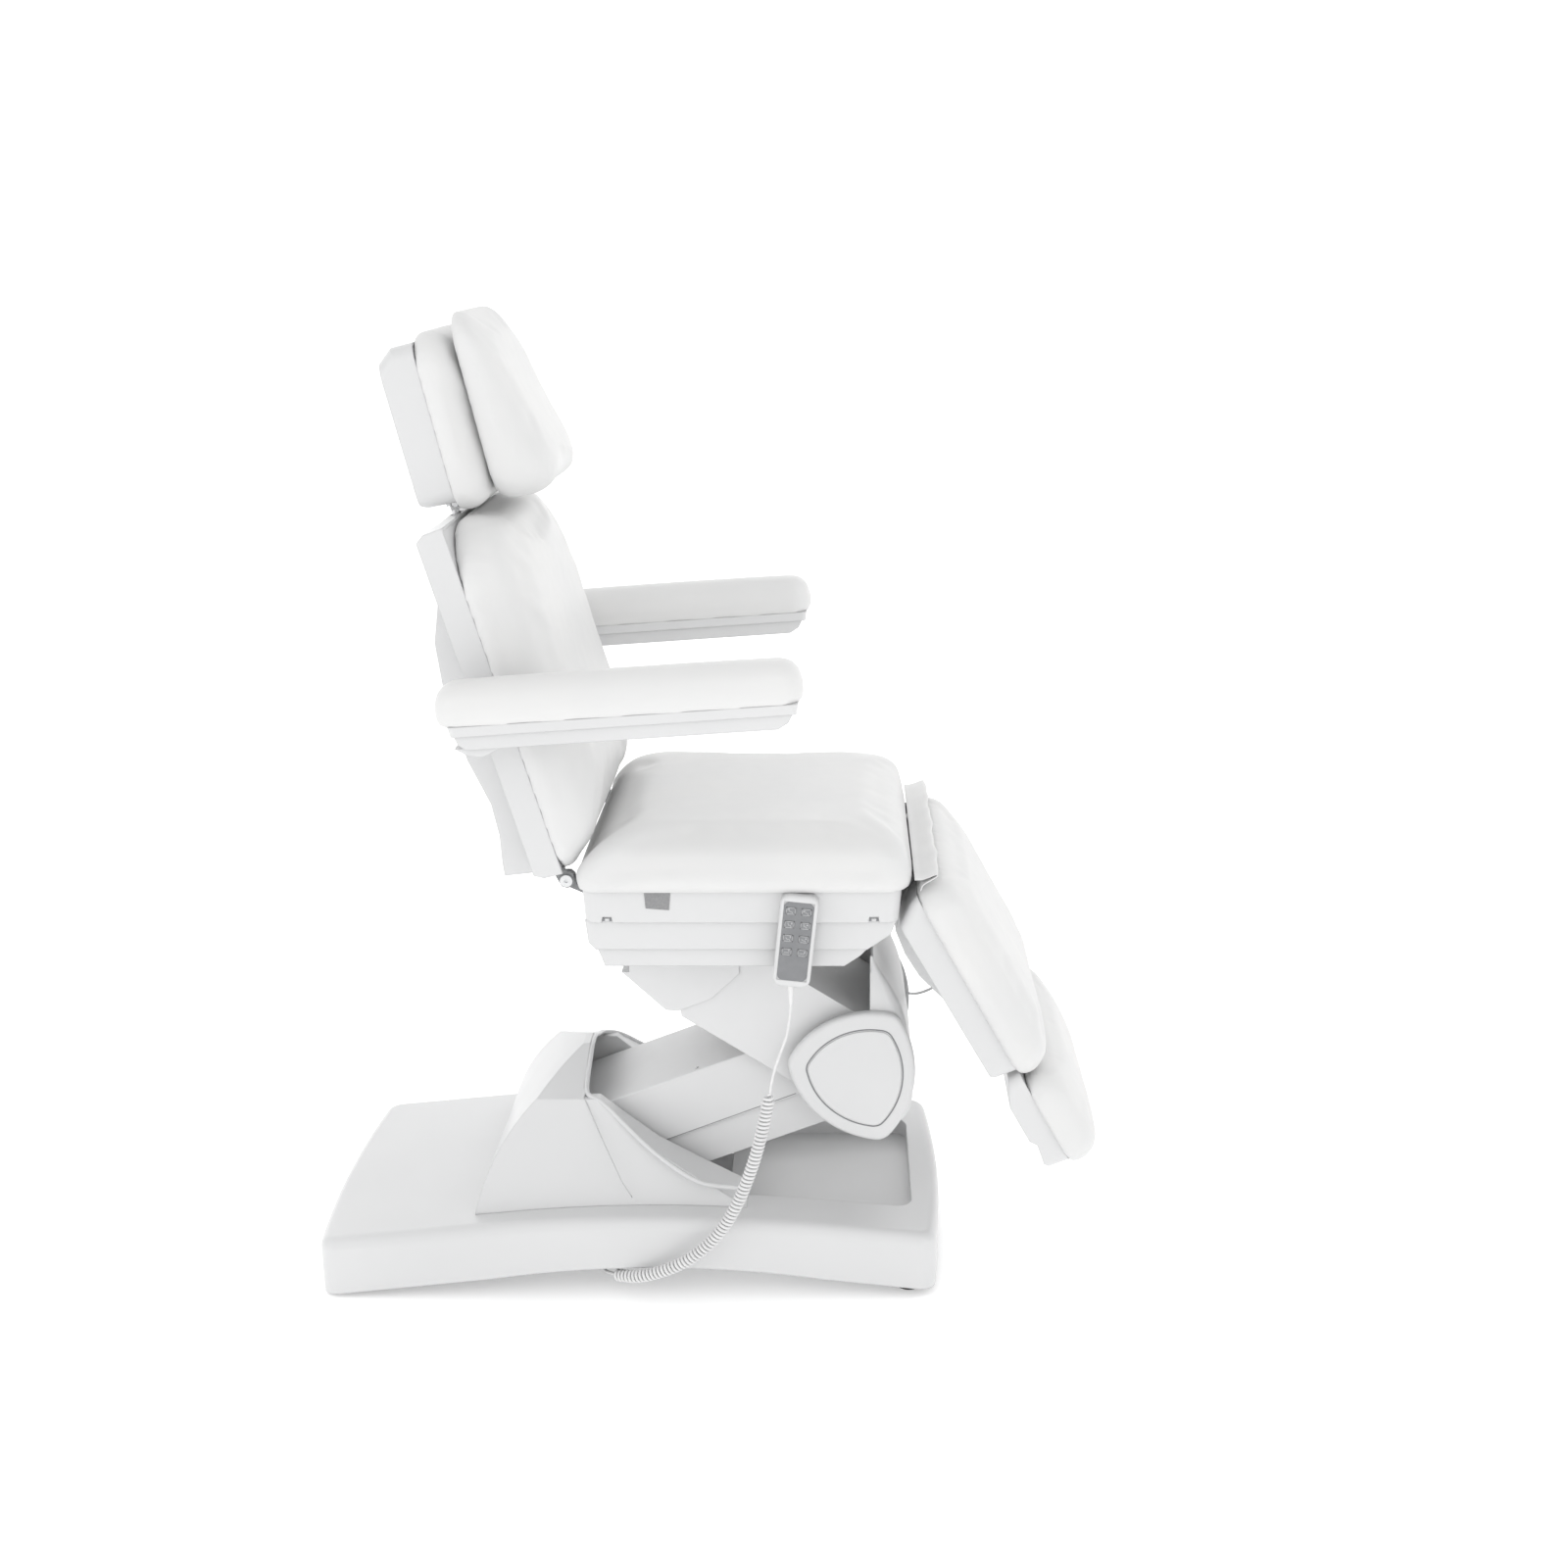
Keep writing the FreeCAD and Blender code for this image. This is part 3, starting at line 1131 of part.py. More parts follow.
def make_back_shell():
    top = -S.back_length - 2
    band, belly = S.back_band, S.back_belly
    shell = tub("back_shell", [
        ([(top, 0), (top + 2, -band * 0.7), (top + 11, -band), (-24, -band), (-16, -30),
          (-15, 0)], S.back_shell_half, None),
        ([(top + 84, -band + 1), (top + 112, -band - 10), (top + 168, -belly + 14),
          (top + 237, -belly + 3), (-225, -belly), (-145, -belly + 12), (-92, -belly + 8),
          (-50, -belly - 2), (-26, -belly - 6), (-19, -60), (-18, -band + 1)],
         S.back_belly_half, None)], S.shell_wall)
    gaps = new_body("back_shell_gaps")
    bracket = S.frame_rail_outer + 26
    block(gaps, -40, 0, bracket - 2, bracket + 10, -34, 2)
    across(gaps, rectangle(-60, -110, 4, 2), 44, False, ACTUATOR_Y)
    cheeks(gaps, (-S.arm_pivot_along, -S.arm_pivot_depth, 11.4), S.back_shell_half - 12,
           S.back_shell_half + 20)
    for y in (-S.head_rod_y, S.head_rod_y):
        lengthwise(gaps, (y, -18, S.head_rod_radius + 5), top - 4, top + 30)
    whole = combine("Cut", "back_shell", shell, gaps)
    stand(whole, BACK[0], BACK[1], S.back_angle)
    keep(whole, "back_shell")


def make_back_frame():
    body = new_body("back_frame")
    outer = S.frame_rail_outer - 20
    far = -S.back_length + 60
    block(body, far, -28, outer - S.frame_rail_width, outer, -24, -0.3)
    for start in (far, -S.arm_pivot_along - 20, as_size(-62)):
        block(body, start, start + 36, None, outer - 1, -23, -2)
    bracket = S.frame_rail_outer + 26
    block(body, -62, -28, outer - 2, bracket + 8, -22, -3)
    cheeks(body, [(-60, -20), (-8, -14), (8, -11), (13, -4), (13, 4), (8, 11), (-6, 13),
                  (-14, 4), (-24, -2), (-60, -4)], bracket, bracket + 8)
    lever_x, lever_z = BACK_LEVER
    for side in (-1, 1):
        across(body, [(-60, -4), (-60, -22), (lever_x - 12, lever_z - 6),
                      (lever_x - 4, lever_z - 12), (lever_x + 10, lever_z - 10),
                      (lever_x + 10, lever_z + 8), (-24, -4)], 5, False,
               ACTUATOR_Y + side * 12)
    across(body, (lever_x, lever_z, 5), 26, False, ACTUATOR_Y)
    arm = (-S.arm_pivot_along, -S.arm_pivot_depth)
    cheeks(body, rectangle(arm[0] - 20, -39.5, arm[0] + 20, -3), outer - 4,
           S.back_shell_half - 5)
    cheeks(body, (arm[0], arm[1], 11), outer, S.arm_center_y - 4)
    for y in (-S.head_rod_y, S.head_rod_y):
        lengthwise(body, (y, -18, S.head_rod_radius + 4), -S.back_length + 40, far + 120)
        lengthwise(body, (y, -18, S.head_rod_radius + S.pin_clearance),
                   -S.back_length + 30, far + 170, True)
    across(body, (0, 0, 6 + S.pin_clearance), 600, True)
    stand(body, BACK[0], BACK[1], S.back_angle)
    keep(body, "back_frame")


def make_back_cushion():
    """Back cushion: wide rounded top corners, lower end rounded off towards the seat."""
    height, half = S.back_cushion_height.value, S.back_half.value
    rear, front = -S.back_length.value, -14
    end_slope = (3, 1, 12, 27, 48, 76, 125)
    wires = []
    for (share, inset), slope in zip(SOFT_LAYERS, end_slope):
        wires.append(rounded_wire(rear + inset, front - slope, half - inset,
                                  S.back_corner.value - inset * 0.4, 44, height * share))
    solid_feature("back_cushion", Part.makeLoft(wires, True, False), BACK[0], BACK[1],
                  S.back_angle)


def make_back_bolts():
    body = new_body("back_hinge_bolts")
    inner = S.frame_rail_outer + 10
    outer = S.frame_rail_outer + 34
    cheeks(body, (0, 0, 6), inner, outer)
    cheeks(body, (0, 0, 10), outer, outer + 6)
    cheeks(body, (0, 0, 9), inner - 5, inner)
    cheeks(body, eye(as_size(0), as_size(0), as_size(3)), outer + 3, outer + 7, True)
    stand(body, BACK[0], BACK[1], S.back_angle)
    keep(body, "back_hinge_bolts")


# Headrest, made flat about its own pivot at the top of the backrest

HEAD = swing(BACK, S.back_angle, -S.back_length - 18, S.head_pivot_z)
HEAD_ANGLE = S.back_angle + S.head_lean


def make_head():
    half, length = S.head_half, S.head_length
    rods = new_body("head_rods")
    start = -S.back_length + 44
    for y in (-S.head_rod_y, S.head_rod_y):
        lengthwise(rods, (y, -18, S.head_rod_radius), -S.back_length - 22, start + 168)
    block(rods, -S.back_length - 28, -S.back_length - 16, None, S.head_rod_y + 14, -26, -12)
    for y in (-S.head_rod_y - 10, S.head_rod_y + 10):
        across(rods, [(-S.back_length - 28, -20), (-S.back_length - 8, -20),
                      (-S.back_length - 9, S.head_pivot_z + 8),
                      (-S.back_length - 27, S.head_pivot_z + 8)], 8, False, y)
    across(rods, (-S.back_length - 18, S.head_pivot_z, 5), (S.head_rod_y + 32) * 2)
    stand(rods, BACK[0], BACK[1], S.back_angle)
    keep(rods, "head_rods")

    seam = S.head_rise
    low = seam - S.head_shell_depth
    shell = tub("head_shell", [
        ([(-length + 12, seam), (-length + 13, seam - 36), (-length + 31, low), (-14, low + 2),
          (-7, low + 12), (-6, seam)], half - 8, 24)], S.shell_wall)
    gaps = new_body("head_shell_gap")
    block(gaps, -30, 4, None, S.head_rod_y + 38, low + 8, seam + 4)
    lugs = new_body("head_shell_lugs")
    for y in (-S.head_rod_y - 28, S.head_rod_y + 28):
        across(lugs, [(-90, low + 2), (-90, seam - 2), (-80, seam - 2), (-60, 8), (8, 9),
                      (9, -8), (-8, -9), (-60, -6), (-76, low + 2)], 6, False, y)
    across(lugs, (0, 0, 5 + S.pin_clearance), 400, True)
    opened = combine("Cut", "head_shell_open", shell, gaps)
    whole = combine("Fuse", "head_shell", opened, lugs)
    stand(whole, HEAD[0], HEAD[1], HEAD_ANGLE)
    keep(whole, "head_shell")

    layers = SOFT_LAYERS
    wires = []
    for share, inset in layers:
        wires.append(rounded_wire(-length.value + inset, 10 - inset * 0.8, half.value - inset,
                                  58, 40, S.head_rise.value +
                                  S.head_cushion_height.value * share))
    solid_feature("head_cushion", Part.makeLoft(wires, True, False), HEAD[0], HEAD[1],
                  HEAD_ANGLE)

    thick = S.pillow_height.value
    bottom = S.head_rise.value + S.head_cushion_height.value + 0.4
    wires = []
    for share, top_end, inset in ((0, 10, 14), (0.12, 1, 4), (0.36, 2, 0), (0.64, 12, 3),
                                  (0.86, 28, 14), (1, 58, 40)):
        wires.append(rounded_wire(-length.value - 18 + top_end, 12 - inset * 1.1,
                                  S.pillow_half.value - inset, 52, 46,
                                  bottom + thick * share * 0.52, thick * share * 0.0027))
    pillow = Part.makeLoft(wires, True, False)
    solid_feature("head_pillow", pillow, HEAD[0], HEAD[1], HEAD_ANGLE)


# Armrests, made level about their pivot on the backrest

ARM = swing(BACK, S.back_angle, -S.arm_pivot_along, -S.arm_pivot_depth)


def make_arm(side, center):
    rear = -S.arm_rear + 20
    shell = new_body("arm_shell_" + side)
    seam = S.arm_seam
    low = seam - S.arm_shell_height
    width = S.arm_width
    length = S.arm_length
    across(shell, [(rear, seam), (rear + 3, seam - 16), (length - 12, seam - 16),
                   (length - 9, seam)], width - 10, False, center)
    soften(shell, 9, lambda edge: edge.BoundBox.ZLength > 10 and edge.BoundBox.YLength < 0.01)
    across(shell, [(rear + 8, seam - 15), (rear + 13, low + 9), (rear + 24, low),
                   (length - 42, low), (length - 26, low + 9), (length - 18, seam - 15)],
           width - 22, False, center)
    across(shell, [(rear + 6, low + 2), (-16, -17), (12, -17), (38, low + 2)], width - 34,
           False, center)
    across(shell, [(rear + 20, seam + 1), (rear + 24, low + 6), (length - 50, low + 6),
                   (length - 34, seam + 1)], width - 30, True, center)
    across(shell, eye(as_size(0), as_size(0), as_size(19)), width - 34, False, center)
    across(shell, (0, 0, 11 + S.pin_clearance), S.arm_center_y * 2 - 2 + 4, True)
    stand(shell, ARM[0], ARM[1], -S.arm_rise)
    keep(shell, "arm_shell_" + side)

    wires = []
    for share, inset in ((0, 5), (0.14, 1), (0.4, 0), (0.66, 3), (0.86, 11), (0.96, 20),
                         (1, 30)):
        half = width.value / 2 - inset
        wires.append(rounded_wire(-S.arm_rear.value + inset, length.value - inset, half,
                                  half * 0.8, half * 0.8,
                                  seam.value + S.arm_pad_height.value * share))
    pad = Part.makeLoft(wires, True, False)
    solid_feature("arm_pad_" + side, pad, ARM[0], ARM[1], -S.arm_rise, center)


# Legrest and footrest, made flat about the leg pivot: X runs to the feet

def make_leg():
    depth, belly = S.leg_shell_depth, S.leg_belly
    start, end = S.leg_start + 8, S.leg_end - 19
    shell = tub("leg_shell", [
        ([(start, 0), (start + 6, -14), (start + 30, -depth), (end - 14, -depth + 4),
          (end - 4, -depth + 14), (end, 0)], S.leg_shell_half, 16),
        ([(start + 34, -depth + 1), (start + 60, -belly + 6), (start + 104, -belly),
          (start + 150, -belly + 2), (start + 250, -depth + 1)], S.leg_belly_half, None)],
        S.shell_wall)
    gaps = new_body("leg_shell_gaps")
    across(gaps, rectangle(start - 10, -80, start + 40, 2), 40, False, -ACTUATOR_Y)
    block(gaps, start - 12, start + 36, as_size(153), as_size(163), -40, 2)
    for y in (-S.foot_rod_y, S.foot_rod_y):
        lengthwise(gaps, (y, -22, 14), end - 30, end + 10)
    whole = combine("Cut", "leg_shell", shell, gaps)
    stand(whole, LEG[0], LEG[1], S.leg_angle)
    keep(whole, "leg_shell")

    frame = new_body("leg_frame")
    outer = S.frame_rail_outer - 10
    block(frame, start + 32, end - 16, outer - S.frame_rail_width, outer, -20, -0.3)
    for x in (start + 32, end - 46):
        block(frame, x, x + 30, None, outer - 1, -19, -2)
    cheeks(frame, [(start + 40, -18), (4, -11), (-8, -6), (-11, 2), (-4, 10), (8, 10),
                   (14, -2), (start + 40, -3)], as_size(155), as_size(161))
    lever_x, lever_z = LEG_LEVER
    for side in (-1, 1):
        across(frame, [(start + 60, -4), (start + 34, -4), (lever_x - 12, lever_z + 6),
                       (lever_x - 10, lever_z - 10), (lever_x + 8, lever_z - 12),
                       (start + 60, -20)], 5, False, -ACTUATOR_Y + side * 12)
    across(frame, (lever_x, lever_z, 5), 26, False, -ACTUATOR_Y)
    cheeks(frame, (0, 0, 6), as_size(144.5), as_size(162.5))
    for y in (-S.foot_rod_y, S.foot_rod_y):
        lengthwise(frame, (y, -22, S.head_rod_radius + 4), end - 150, end - 2)
        lengthwise(frame, (y, -22, S.head_rod_radius + S.pin_clearance), end - 230, end + 10,
                   True)
    stand(frame, LEG[0], LEG[1], S.leg_angle)
    keep(frame, "leg_frame")

    layers = ((0, 7), (0.12, 1.5), (0.34, 0), (0.6, 4), (0.82, 14), (0.94, 30), (1, 56))
    wires = []
    for share, inset in layers:
        wires.append(rounded_wire(S.leg_start.value + inset, S.leg_end.value - inset,
                                  S.leg_half.value - inset, 46, 46,
                                  S.leg_cushion_height.value * share))
    solid_feature("leg_cushion", Part.makeLoft(wires, True, False), LEG[0], LEG[1],
                  S.leg_angle)

    rails = new_body("foot_rails")
    begin, stop = S.foot_start - 10, S.foot_end - 13
    for y in (-S.foot_rod_y, S.foot_rod_y):
        lengthwise(rails, (y, -22, S.head_rod_radius), end - 140, begin + 70)
    block(rails, begin + 22, begin + 70, None, S.foot_rod_y + 90, -28, -0.3)
    stand(rails, LEG[0], LEG[1], S.leg_angle)
    keep(rails, "foot_rails")

    depth = S.foot_shell_depth
    foot = tub("foot_shell", [
        ([(begin - 8, 0), (begin - 6, -22), (begin + 36, -depth), (stop - 70, -depth),
          (stop - 58, -depth + 8), (stop - 22, -depth + 2), (stop - 8, -depth + 8),
          (stop - 4, 0)], S.foot_half - 14, 16)], S.shell_wall)
    holes = new_body("foot_shell_holes")
    for y in (-S.foot_rod_y, S.foot_rod_y):
        lengthwise(holes, (y, -22, 12), begin - 20, begin + 21)
    whole = combine("Cut", "foot_shell", foot, holes)
    stand(whole, LEG[0], LEG[1], S.leg_angle)
    keep(whole, "foot_shell")

    wires = []
    for share, inset in layers:
        wires.append(rounded_wire(S.foot_start.value + inset, S.foot_end.value - inset * 0.8,
                                  S.foot_half.value - inset, 40, 52,
                                  S.foot_cushion_height.value * share))
    solid_feature("foot_cushion", Part.makeLoft(wires, True, False), LEG[0], LEG[1],
                  S.leg_angle)


def make_gap_flap():
    """Sheet of upholstery that bridges the gap between seat and legrest, folded once."""
    front, seam = S.seat_front_x.value + 18.4, S.seat_seam_z.value
    outline = [(front - 0.25, seam + 18.4), (front + 7.6, seam + 18.6),
               (front + 34, seam + 29.4), (front + 38, seam + 28.4), (front + 37, seam + 25.2),
               (front + 15.2, seam + 8.4), (front + 11.4, seam - 2.8), (front + 8.9, seam - 1.9),
               (front + 12.6, seam + 10), (front + 31.8, seam + 25.4),
               (front + 8.2, seam + 15.8), (front + 0.1, seam + 15.6)]
    points = [FreeCAD.Vector(x, -S.cushion_half.value + 22, z) for x, z in outline]
    face = Part.Face(Part.makePolygon(points + [points[0]]))
    width = 2 * S.cushion_half.value - 44
    solid_feature("gap_flap", face.extrude(FreeCAD.Vector(0, width, 0)))


def make_all():
    slab_solid = make_base_cover()
    make_arm_shroud(slab_solid)
    make_base_frame()
    make_feet()
    make_base_fittings()
    make_lower_arm()
    make_lower_link()
    make_knee_frame()
    make_column_cover()
    make_knee_covers()
    make_upper_arm()
    make_upper_link()
    make_seat_support()
    make_actuators()
    make_seat_tray()
    make_seat_frame()
    make_seat_cushion()
    make_blank_tag()
    make_handset()
    make_cords()
    make_back_shell()
    make_back_frame()
    make_back_cushion()
    make_back_bolts()
    make_head()
    for side, center in (("left", S.arm_center_y), ("right", -S.arm_center_y)):
        make_arm(side, center)
    make_leg()
    make_gap_flap()


def check_and_write():
    DOC.recompute()
    problems = []
    for thing in DOC.Objects:
        if "Invalid" in thing.State or "Error" in thing.State:
            problems.append("%s is %s" % (thing.Name, thing.State))
    for node in NODES:
        if node.Shape.isNull() or not node.Shape.isValid() or not node.Shape.Solids:
            problems.append("%s has no valid solid" % node.Label)
    if problems:
        raise RuntimeError("; ".join(problems))
    os.makedirs("parts", exist_ok=True)
    for node in NODES:
        node.Shape.exportStep("parts/%s.step" % node.Label)
    print("%d pieces written" % len(NODES))


make_all()
check_and_write()
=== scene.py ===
"""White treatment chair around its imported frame: upholstery, cords, keys and finishes."""
import json
import math

import bmesh
import bpy
import numpy as np
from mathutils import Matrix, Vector


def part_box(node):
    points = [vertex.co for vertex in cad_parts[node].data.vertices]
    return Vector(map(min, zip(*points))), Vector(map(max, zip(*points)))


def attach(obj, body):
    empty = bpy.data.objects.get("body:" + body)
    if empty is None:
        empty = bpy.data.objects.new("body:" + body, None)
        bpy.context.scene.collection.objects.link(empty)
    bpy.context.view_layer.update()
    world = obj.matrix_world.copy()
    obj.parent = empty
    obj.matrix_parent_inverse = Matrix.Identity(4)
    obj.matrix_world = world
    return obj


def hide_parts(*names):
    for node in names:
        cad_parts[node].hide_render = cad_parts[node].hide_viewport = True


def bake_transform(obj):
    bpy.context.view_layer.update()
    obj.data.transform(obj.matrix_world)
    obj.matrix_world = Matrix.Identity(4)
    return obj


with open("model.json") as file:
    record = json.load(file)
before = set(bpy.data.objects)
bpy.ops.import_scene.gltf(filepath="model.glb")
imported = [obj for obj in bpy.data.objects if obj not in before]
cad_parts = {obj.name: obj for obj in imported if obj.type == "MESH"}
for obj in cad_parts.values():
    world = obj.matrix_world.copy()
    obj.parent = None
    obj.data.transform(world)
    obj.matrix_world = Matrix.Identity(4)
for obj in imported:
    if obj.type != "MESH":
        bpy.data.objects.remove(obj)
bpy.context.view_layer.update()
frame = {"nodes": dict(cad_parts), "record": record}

SCENE = bpy.context.scene
NODES = frame["nodes"]

# Angles in degrees that the padded parts are dipped by at rest
BACK_DIP, HEAD_DIP, LEG_DIP, ARM_DIP = 74, 74 + 3.4, 61, -4


# Camera: from the near side, a little above the seat, looking slightly down

PHOTO_SIZE = 1600
FOCAL_PIXELS = 1890
SHIFT_PIXELS = -59
SENSOR = 36
LOOK_DOWN = 16.8


def make_camera():
    data = bpy.data.cameras.new("camera")
    data.sensor_width = SENSOR
    data.lens = SENSOR * FOCAL_PIXELS / PHOTO_SIZE
    data.shift_x = SHIFT_PIXELS / PHOTO_SIZE
    camera = bpy.data.objects.new("camera", data)
    camera.location = (0.231, -3.0155, 1.742)
    camera.rotation_euler = (math.radians(90 - LOOK_DOWN), 0, 0)
    SCENE.collection.objects.link(camera)
    SCENE.camera = camera


make_camera()


# Helpers

def smooth(thing):
    for face in thing.data.polygons:
        face.use_smooth = True


def object_of(name, mesh):
    thing = bpy.data.objects.new(name, mesh)
    SCENE.collection.objects.link(thing)
    return thing


def apply_modifiers(thing):
    graph = bpy.context.evaluated_depsgraph_get()
    mesh = bpy.data.meshes.new_from_object(thing.evaluated_get(graph))
    thing.modifiers.clear()
    old = thing.data
    thing.data = mesh
    if old.users == 0:
        bpy.data.meshes.remove(old)


def bevel_rim(thing, width, segments=2):
    rim = thing.modifiers.new("rim", "BEVEL")
    rim.width = width
    rim.segments = segments
    apply_modifiers(thing)


def vectors_of(mesh, attribute="co"):
    """One row for each vertex: its place, or its normal."""
    flat = np.zeros(len(mesh.vertices) * 3, np.float32)
    mesh.vertices.foreach_get(attribute, flat)
    return flat.reshape(-1, 3).astype(float)


def set_positions(mesh, points):
    mesh.vertices.foreach_set("co", points.astype(np.float32).ravel())
    mesh.update()


def mesh_of(name, vertices, faces):
    mesh = bpy.data.meshes.new(name)
    mesh.from_pydata([tuple(v) for v in vertices], [], faces)
    mesh.validate()
    return mesh


def quads_between_rings(rings, around):
    """Faces of a tube of closed rings, and its two end caps."""
    faces = []
    for ring in range(rings - 1):
        for step in range(around):
            a, b = ring * around + step, ring * around + (step + 1) % around
            faces.append((a, b, b + around, a + around))
    faces.append(tuple(range(around))[::-1])
    faces.append(tuple((rings - 1) * around + step for step in range(around)))
    return faces


# Finishes

class Finish:
    """A material with its shader, and short calls for the nodes in front of it."""

    def __init__(self, name, color, rough, **sockets):
        self.material = bpy.data.materials.new(name)
        self.material.use_nodes = True
        self.tree = self.material.node_tree
        self.shader = self.tree.nodes["Principled BSDF"]
        self.shader.inputs["Base Color"].default_value = (*color, 1)
        self.shader.inputs["Roughness"].default_value = rough
        for socket, value in sockets.items():
            self.shader.inputs[socket.replace("_", " ")].default_value = value
        place = self.tree.nodes.new("ShaderNodeTexCoord")
        self.place = place.outputs["Object"]
        self.normal = None

    def texture(self, kind, scale, **settings):
        node = self.tree.nodes.new("ShaderNodeTex" + kind)
        self.tree.links.new(self.place, node.inputs["Vector"])
        node.inputs["Scale"].default_value = scale
        for key, value in settings.items():
            if key in node.inputs:
                node.inputs[key].default_value = value
            else:
                setattr(node, key, value)
        return node.outputs["Distance" if kind == "Voronoi" else "Fac"]

    def rough(self, source, low, high):
        """Roughness from low to high over the middle of the source's range."""
        node = self.tree.nodes.new("ShaderNodeMapRange")
        self.tree.links.new(source, node.inputs["Value"])
        for socket, value in (("From Min", 0.3), ("From Max", 0.7), ("To Min", low),
                              ("To Max", high)):
            node.inputs[socket].default_value = value
        self.tree.links.new(node.outputs["Result"], self.shader.inputs["Roughness"])

    def tint(self, source, first, second, start=0.3, stop=0.7):
        """Base colour from first to second as the source goes from start to stop."""
        ramp = self.tree.nodes.new("ShaderNodeValToRGB")
        self.tree.links.new(source, ramp.inputs["Fac"])
        ramp.color_ramp.elements[0].position = start
        ramp.color_ramp.elements[0].color = (*first, 1)
        ramp.color_ramp.elements[1].position = stop
        ramp.color_ramp.elements[1].color = (*second, 1)
        self.tree.links.new(ramp.outputs["Color"], self.shader.inputs["Base Color"])

    def rounded(self, radius):
        """Soft edges of this radius in the shading, as moulded and coated parts have."""
        node = self.tree.nodes.new("ShaderNodeBevel")
        node.samples = 6
        node.inputs["Radius"].default_value = radius
        self.normal = node.outputs["Normal"]
        self.tree.links.new(self.normal, self.shader.inputs["Normal"])

    def bump(self, source, height, strength):
        node = self.tree.nodes.new("ShaderNodeBump")
        node.inputs["Strength"].default_value = strength
        node.inputs["Distance"].default_value = height
        self.tree.links.new(source, node.inputs["Height"])
        if self.normal is not None:
            self.tree.links.new(self.normal, node.inputs["Normal"])
        self.normal = node.outputs["Normal"]
        self.tree.links.new(self.normal, self.shader.inputs["Normal"])


def leatherette():
    """Soft white vinyl: pebbled grain, broad slow creases, faint warm and cool drift."""
    finish = Finish("leatherette", (0.665, 0.665, 0.662), 0.5, Specular_IOR_Level=0.36)
    drift = finish.texture("Noise", 5, Detail=3.0, Roughness=0.55)
    finish.tint(drift, (0.65, 0.652, 0.652), (0.678, 0.677, 0.672))
    patches = finish.texture("Noise", 38, Detail=4.0, Roughness=0.6)
    finish.rough(patches, 0.45, 0.56)
    pebble = finish.texture("Voronoi", 620)
    finish.bump(pebble, 0.00018, 0.3)
    crease = finish.texture("Noise", 48, Detail=5.0, Roughness=0.62, Distortion=0.6)
    finish.bump(crease, 0.0008, 0.1)
    slack = finish.texture("Noise", 8, Detail=2.0, Roughness=0.4)
    finish.bump(slack, 0.005, 0.14)
    return finish.material


def moulded_plastic():
    """Satin moulded shell: near white, rounded at its edges, with a fine orange peel."""
    finish = Finish("moulded_plastic", (0.615, 0.617, 0.62), 0.36, Coat_Weight=0.12,
                    Coat_Roughness=0.2)
    drift = finish.texture("Noise", 3, Detail=2.0, Roughness=0.5)
    finish.tint(drift, (0.602, 0.605, 0.608), (0.625, 0.627, 0.630))
    handled = finish.texture("Noise", 9, Detail=3.0, Roughness=0.5)
    finish.rough(handled, 0.33, 0.40)
    finish.rounded(0.0035)
    finish.bump(finish.texture("Noise", 260, Detail=1.0), 0.00004, 0.12)
    return finish.material


def powder_coat():
    """Satin powder coat on welded steel."""
    finish = Finish("powder_coat", (0.65, 0.652, 0.655), 0.46)
    drift = finish.texture("Noise", 4, Detail=3.0)
    finish.tint(drift, (0.635, 0.637, 0.64), (0.66, 0.662, 0.665))
    finish.rough(finish.texture("Noise", 60, Detail=4.0), 0.42, 0.52)
    finish.rounded(0.0015)
    finish.bump(finish.texture("Noise", 700, Detail=2.0), 0.00006, 0.25)
    return finish.material


def frame_paint():
    """Grey paint of the frames and motors inside."""
    finish = Finish("frame_paint", (0.24, 0.245, 0.25), 0.5)
    finish.tint(finish.texture("Noise", 12, Detail=4.0), (0.21, 0.214, 0.22),
                (0.27, 0.274, 0.28))
    finish.bump(finish.texture("Noise", 800, Detail=2.0), 0.00018, 0.4)
    return finish.material


def steel():
    """Bright drawn steel with fine marks."""
    finish = Finish("steel", (0.62, 0.625, 0.63), 0.26, Metallic=1.0)
    marks = finish.texture("Noise", 160, Detail=5.0, Roughness=0.7)
    finish.rough(marks, 0.18, 0.36)
    finish.tint(finish.texture("Noise", 30, Detail=3.0), (0.56, 0.565, 0.575),
                (0.66, 0.665, 0.67))
    finish.bump(finish.texture("Noise", 700, Detail=2.0), 0.00008, 0.3)
    return finish.material


def dark_plastic():
    """Textured black plastic of motors and boxes."""
    finish = Finish("dark_plastic", (0.035, 0.036, 0.038), 0.55)
    finish.tint(finish.texture("Noise", 25, Detail=3.0), (0.028, 0.029, 0.031),
                (0.05, 0.051, 0.053))
    finish.bump(finish.texture("Voronoi", 900), 0.00018, 0.4)
    return finish.material


def rubber():
    """Black rubber of the feet, dusty in places."""
    finish = Finish("rubber", (0.022, 0.022, 0.023), 0.72)
    dust = finish.texture("Noise", 48, Detail=5.0, Roughness=0.7)
    finish.tint(dust, (0.018, 0.018, 0.019), (0.06, 0.059, 0.057), 0.4, 0.8)
    finish.rough(dust, 0.62, 0.85)
    finish.bump(finish.texture("Noise", 500, Detail=3.0), 0.0003, 0.5)
    return finish.material


def panel_film():
    """Grey film over the handset's keys."""
    finish = Finish("panel_film", (0.20, 0.204, 0.212), 0.4)
    finish.tint(finish.texture("Noise", 60, Detail=4.0), (0.188, 0.192, 0.2),
                (0.212, 0.216, 0.224))
    finish.bump(finish.texture("Voronoi", 1600), 0.00006, 0.3)
    return finish.material


def printed_line():
    """White ink of the drawings on the keys."""
    finish = Finish("printed_line", (0.78, 0.785, 0.79), 0.5)
    finish.tint(finish.texture("Noise", 400, Detail=2.0), (0.72, 0.725, 0.73),
                (0.80, 0.805, 0.81))
    return finish.material


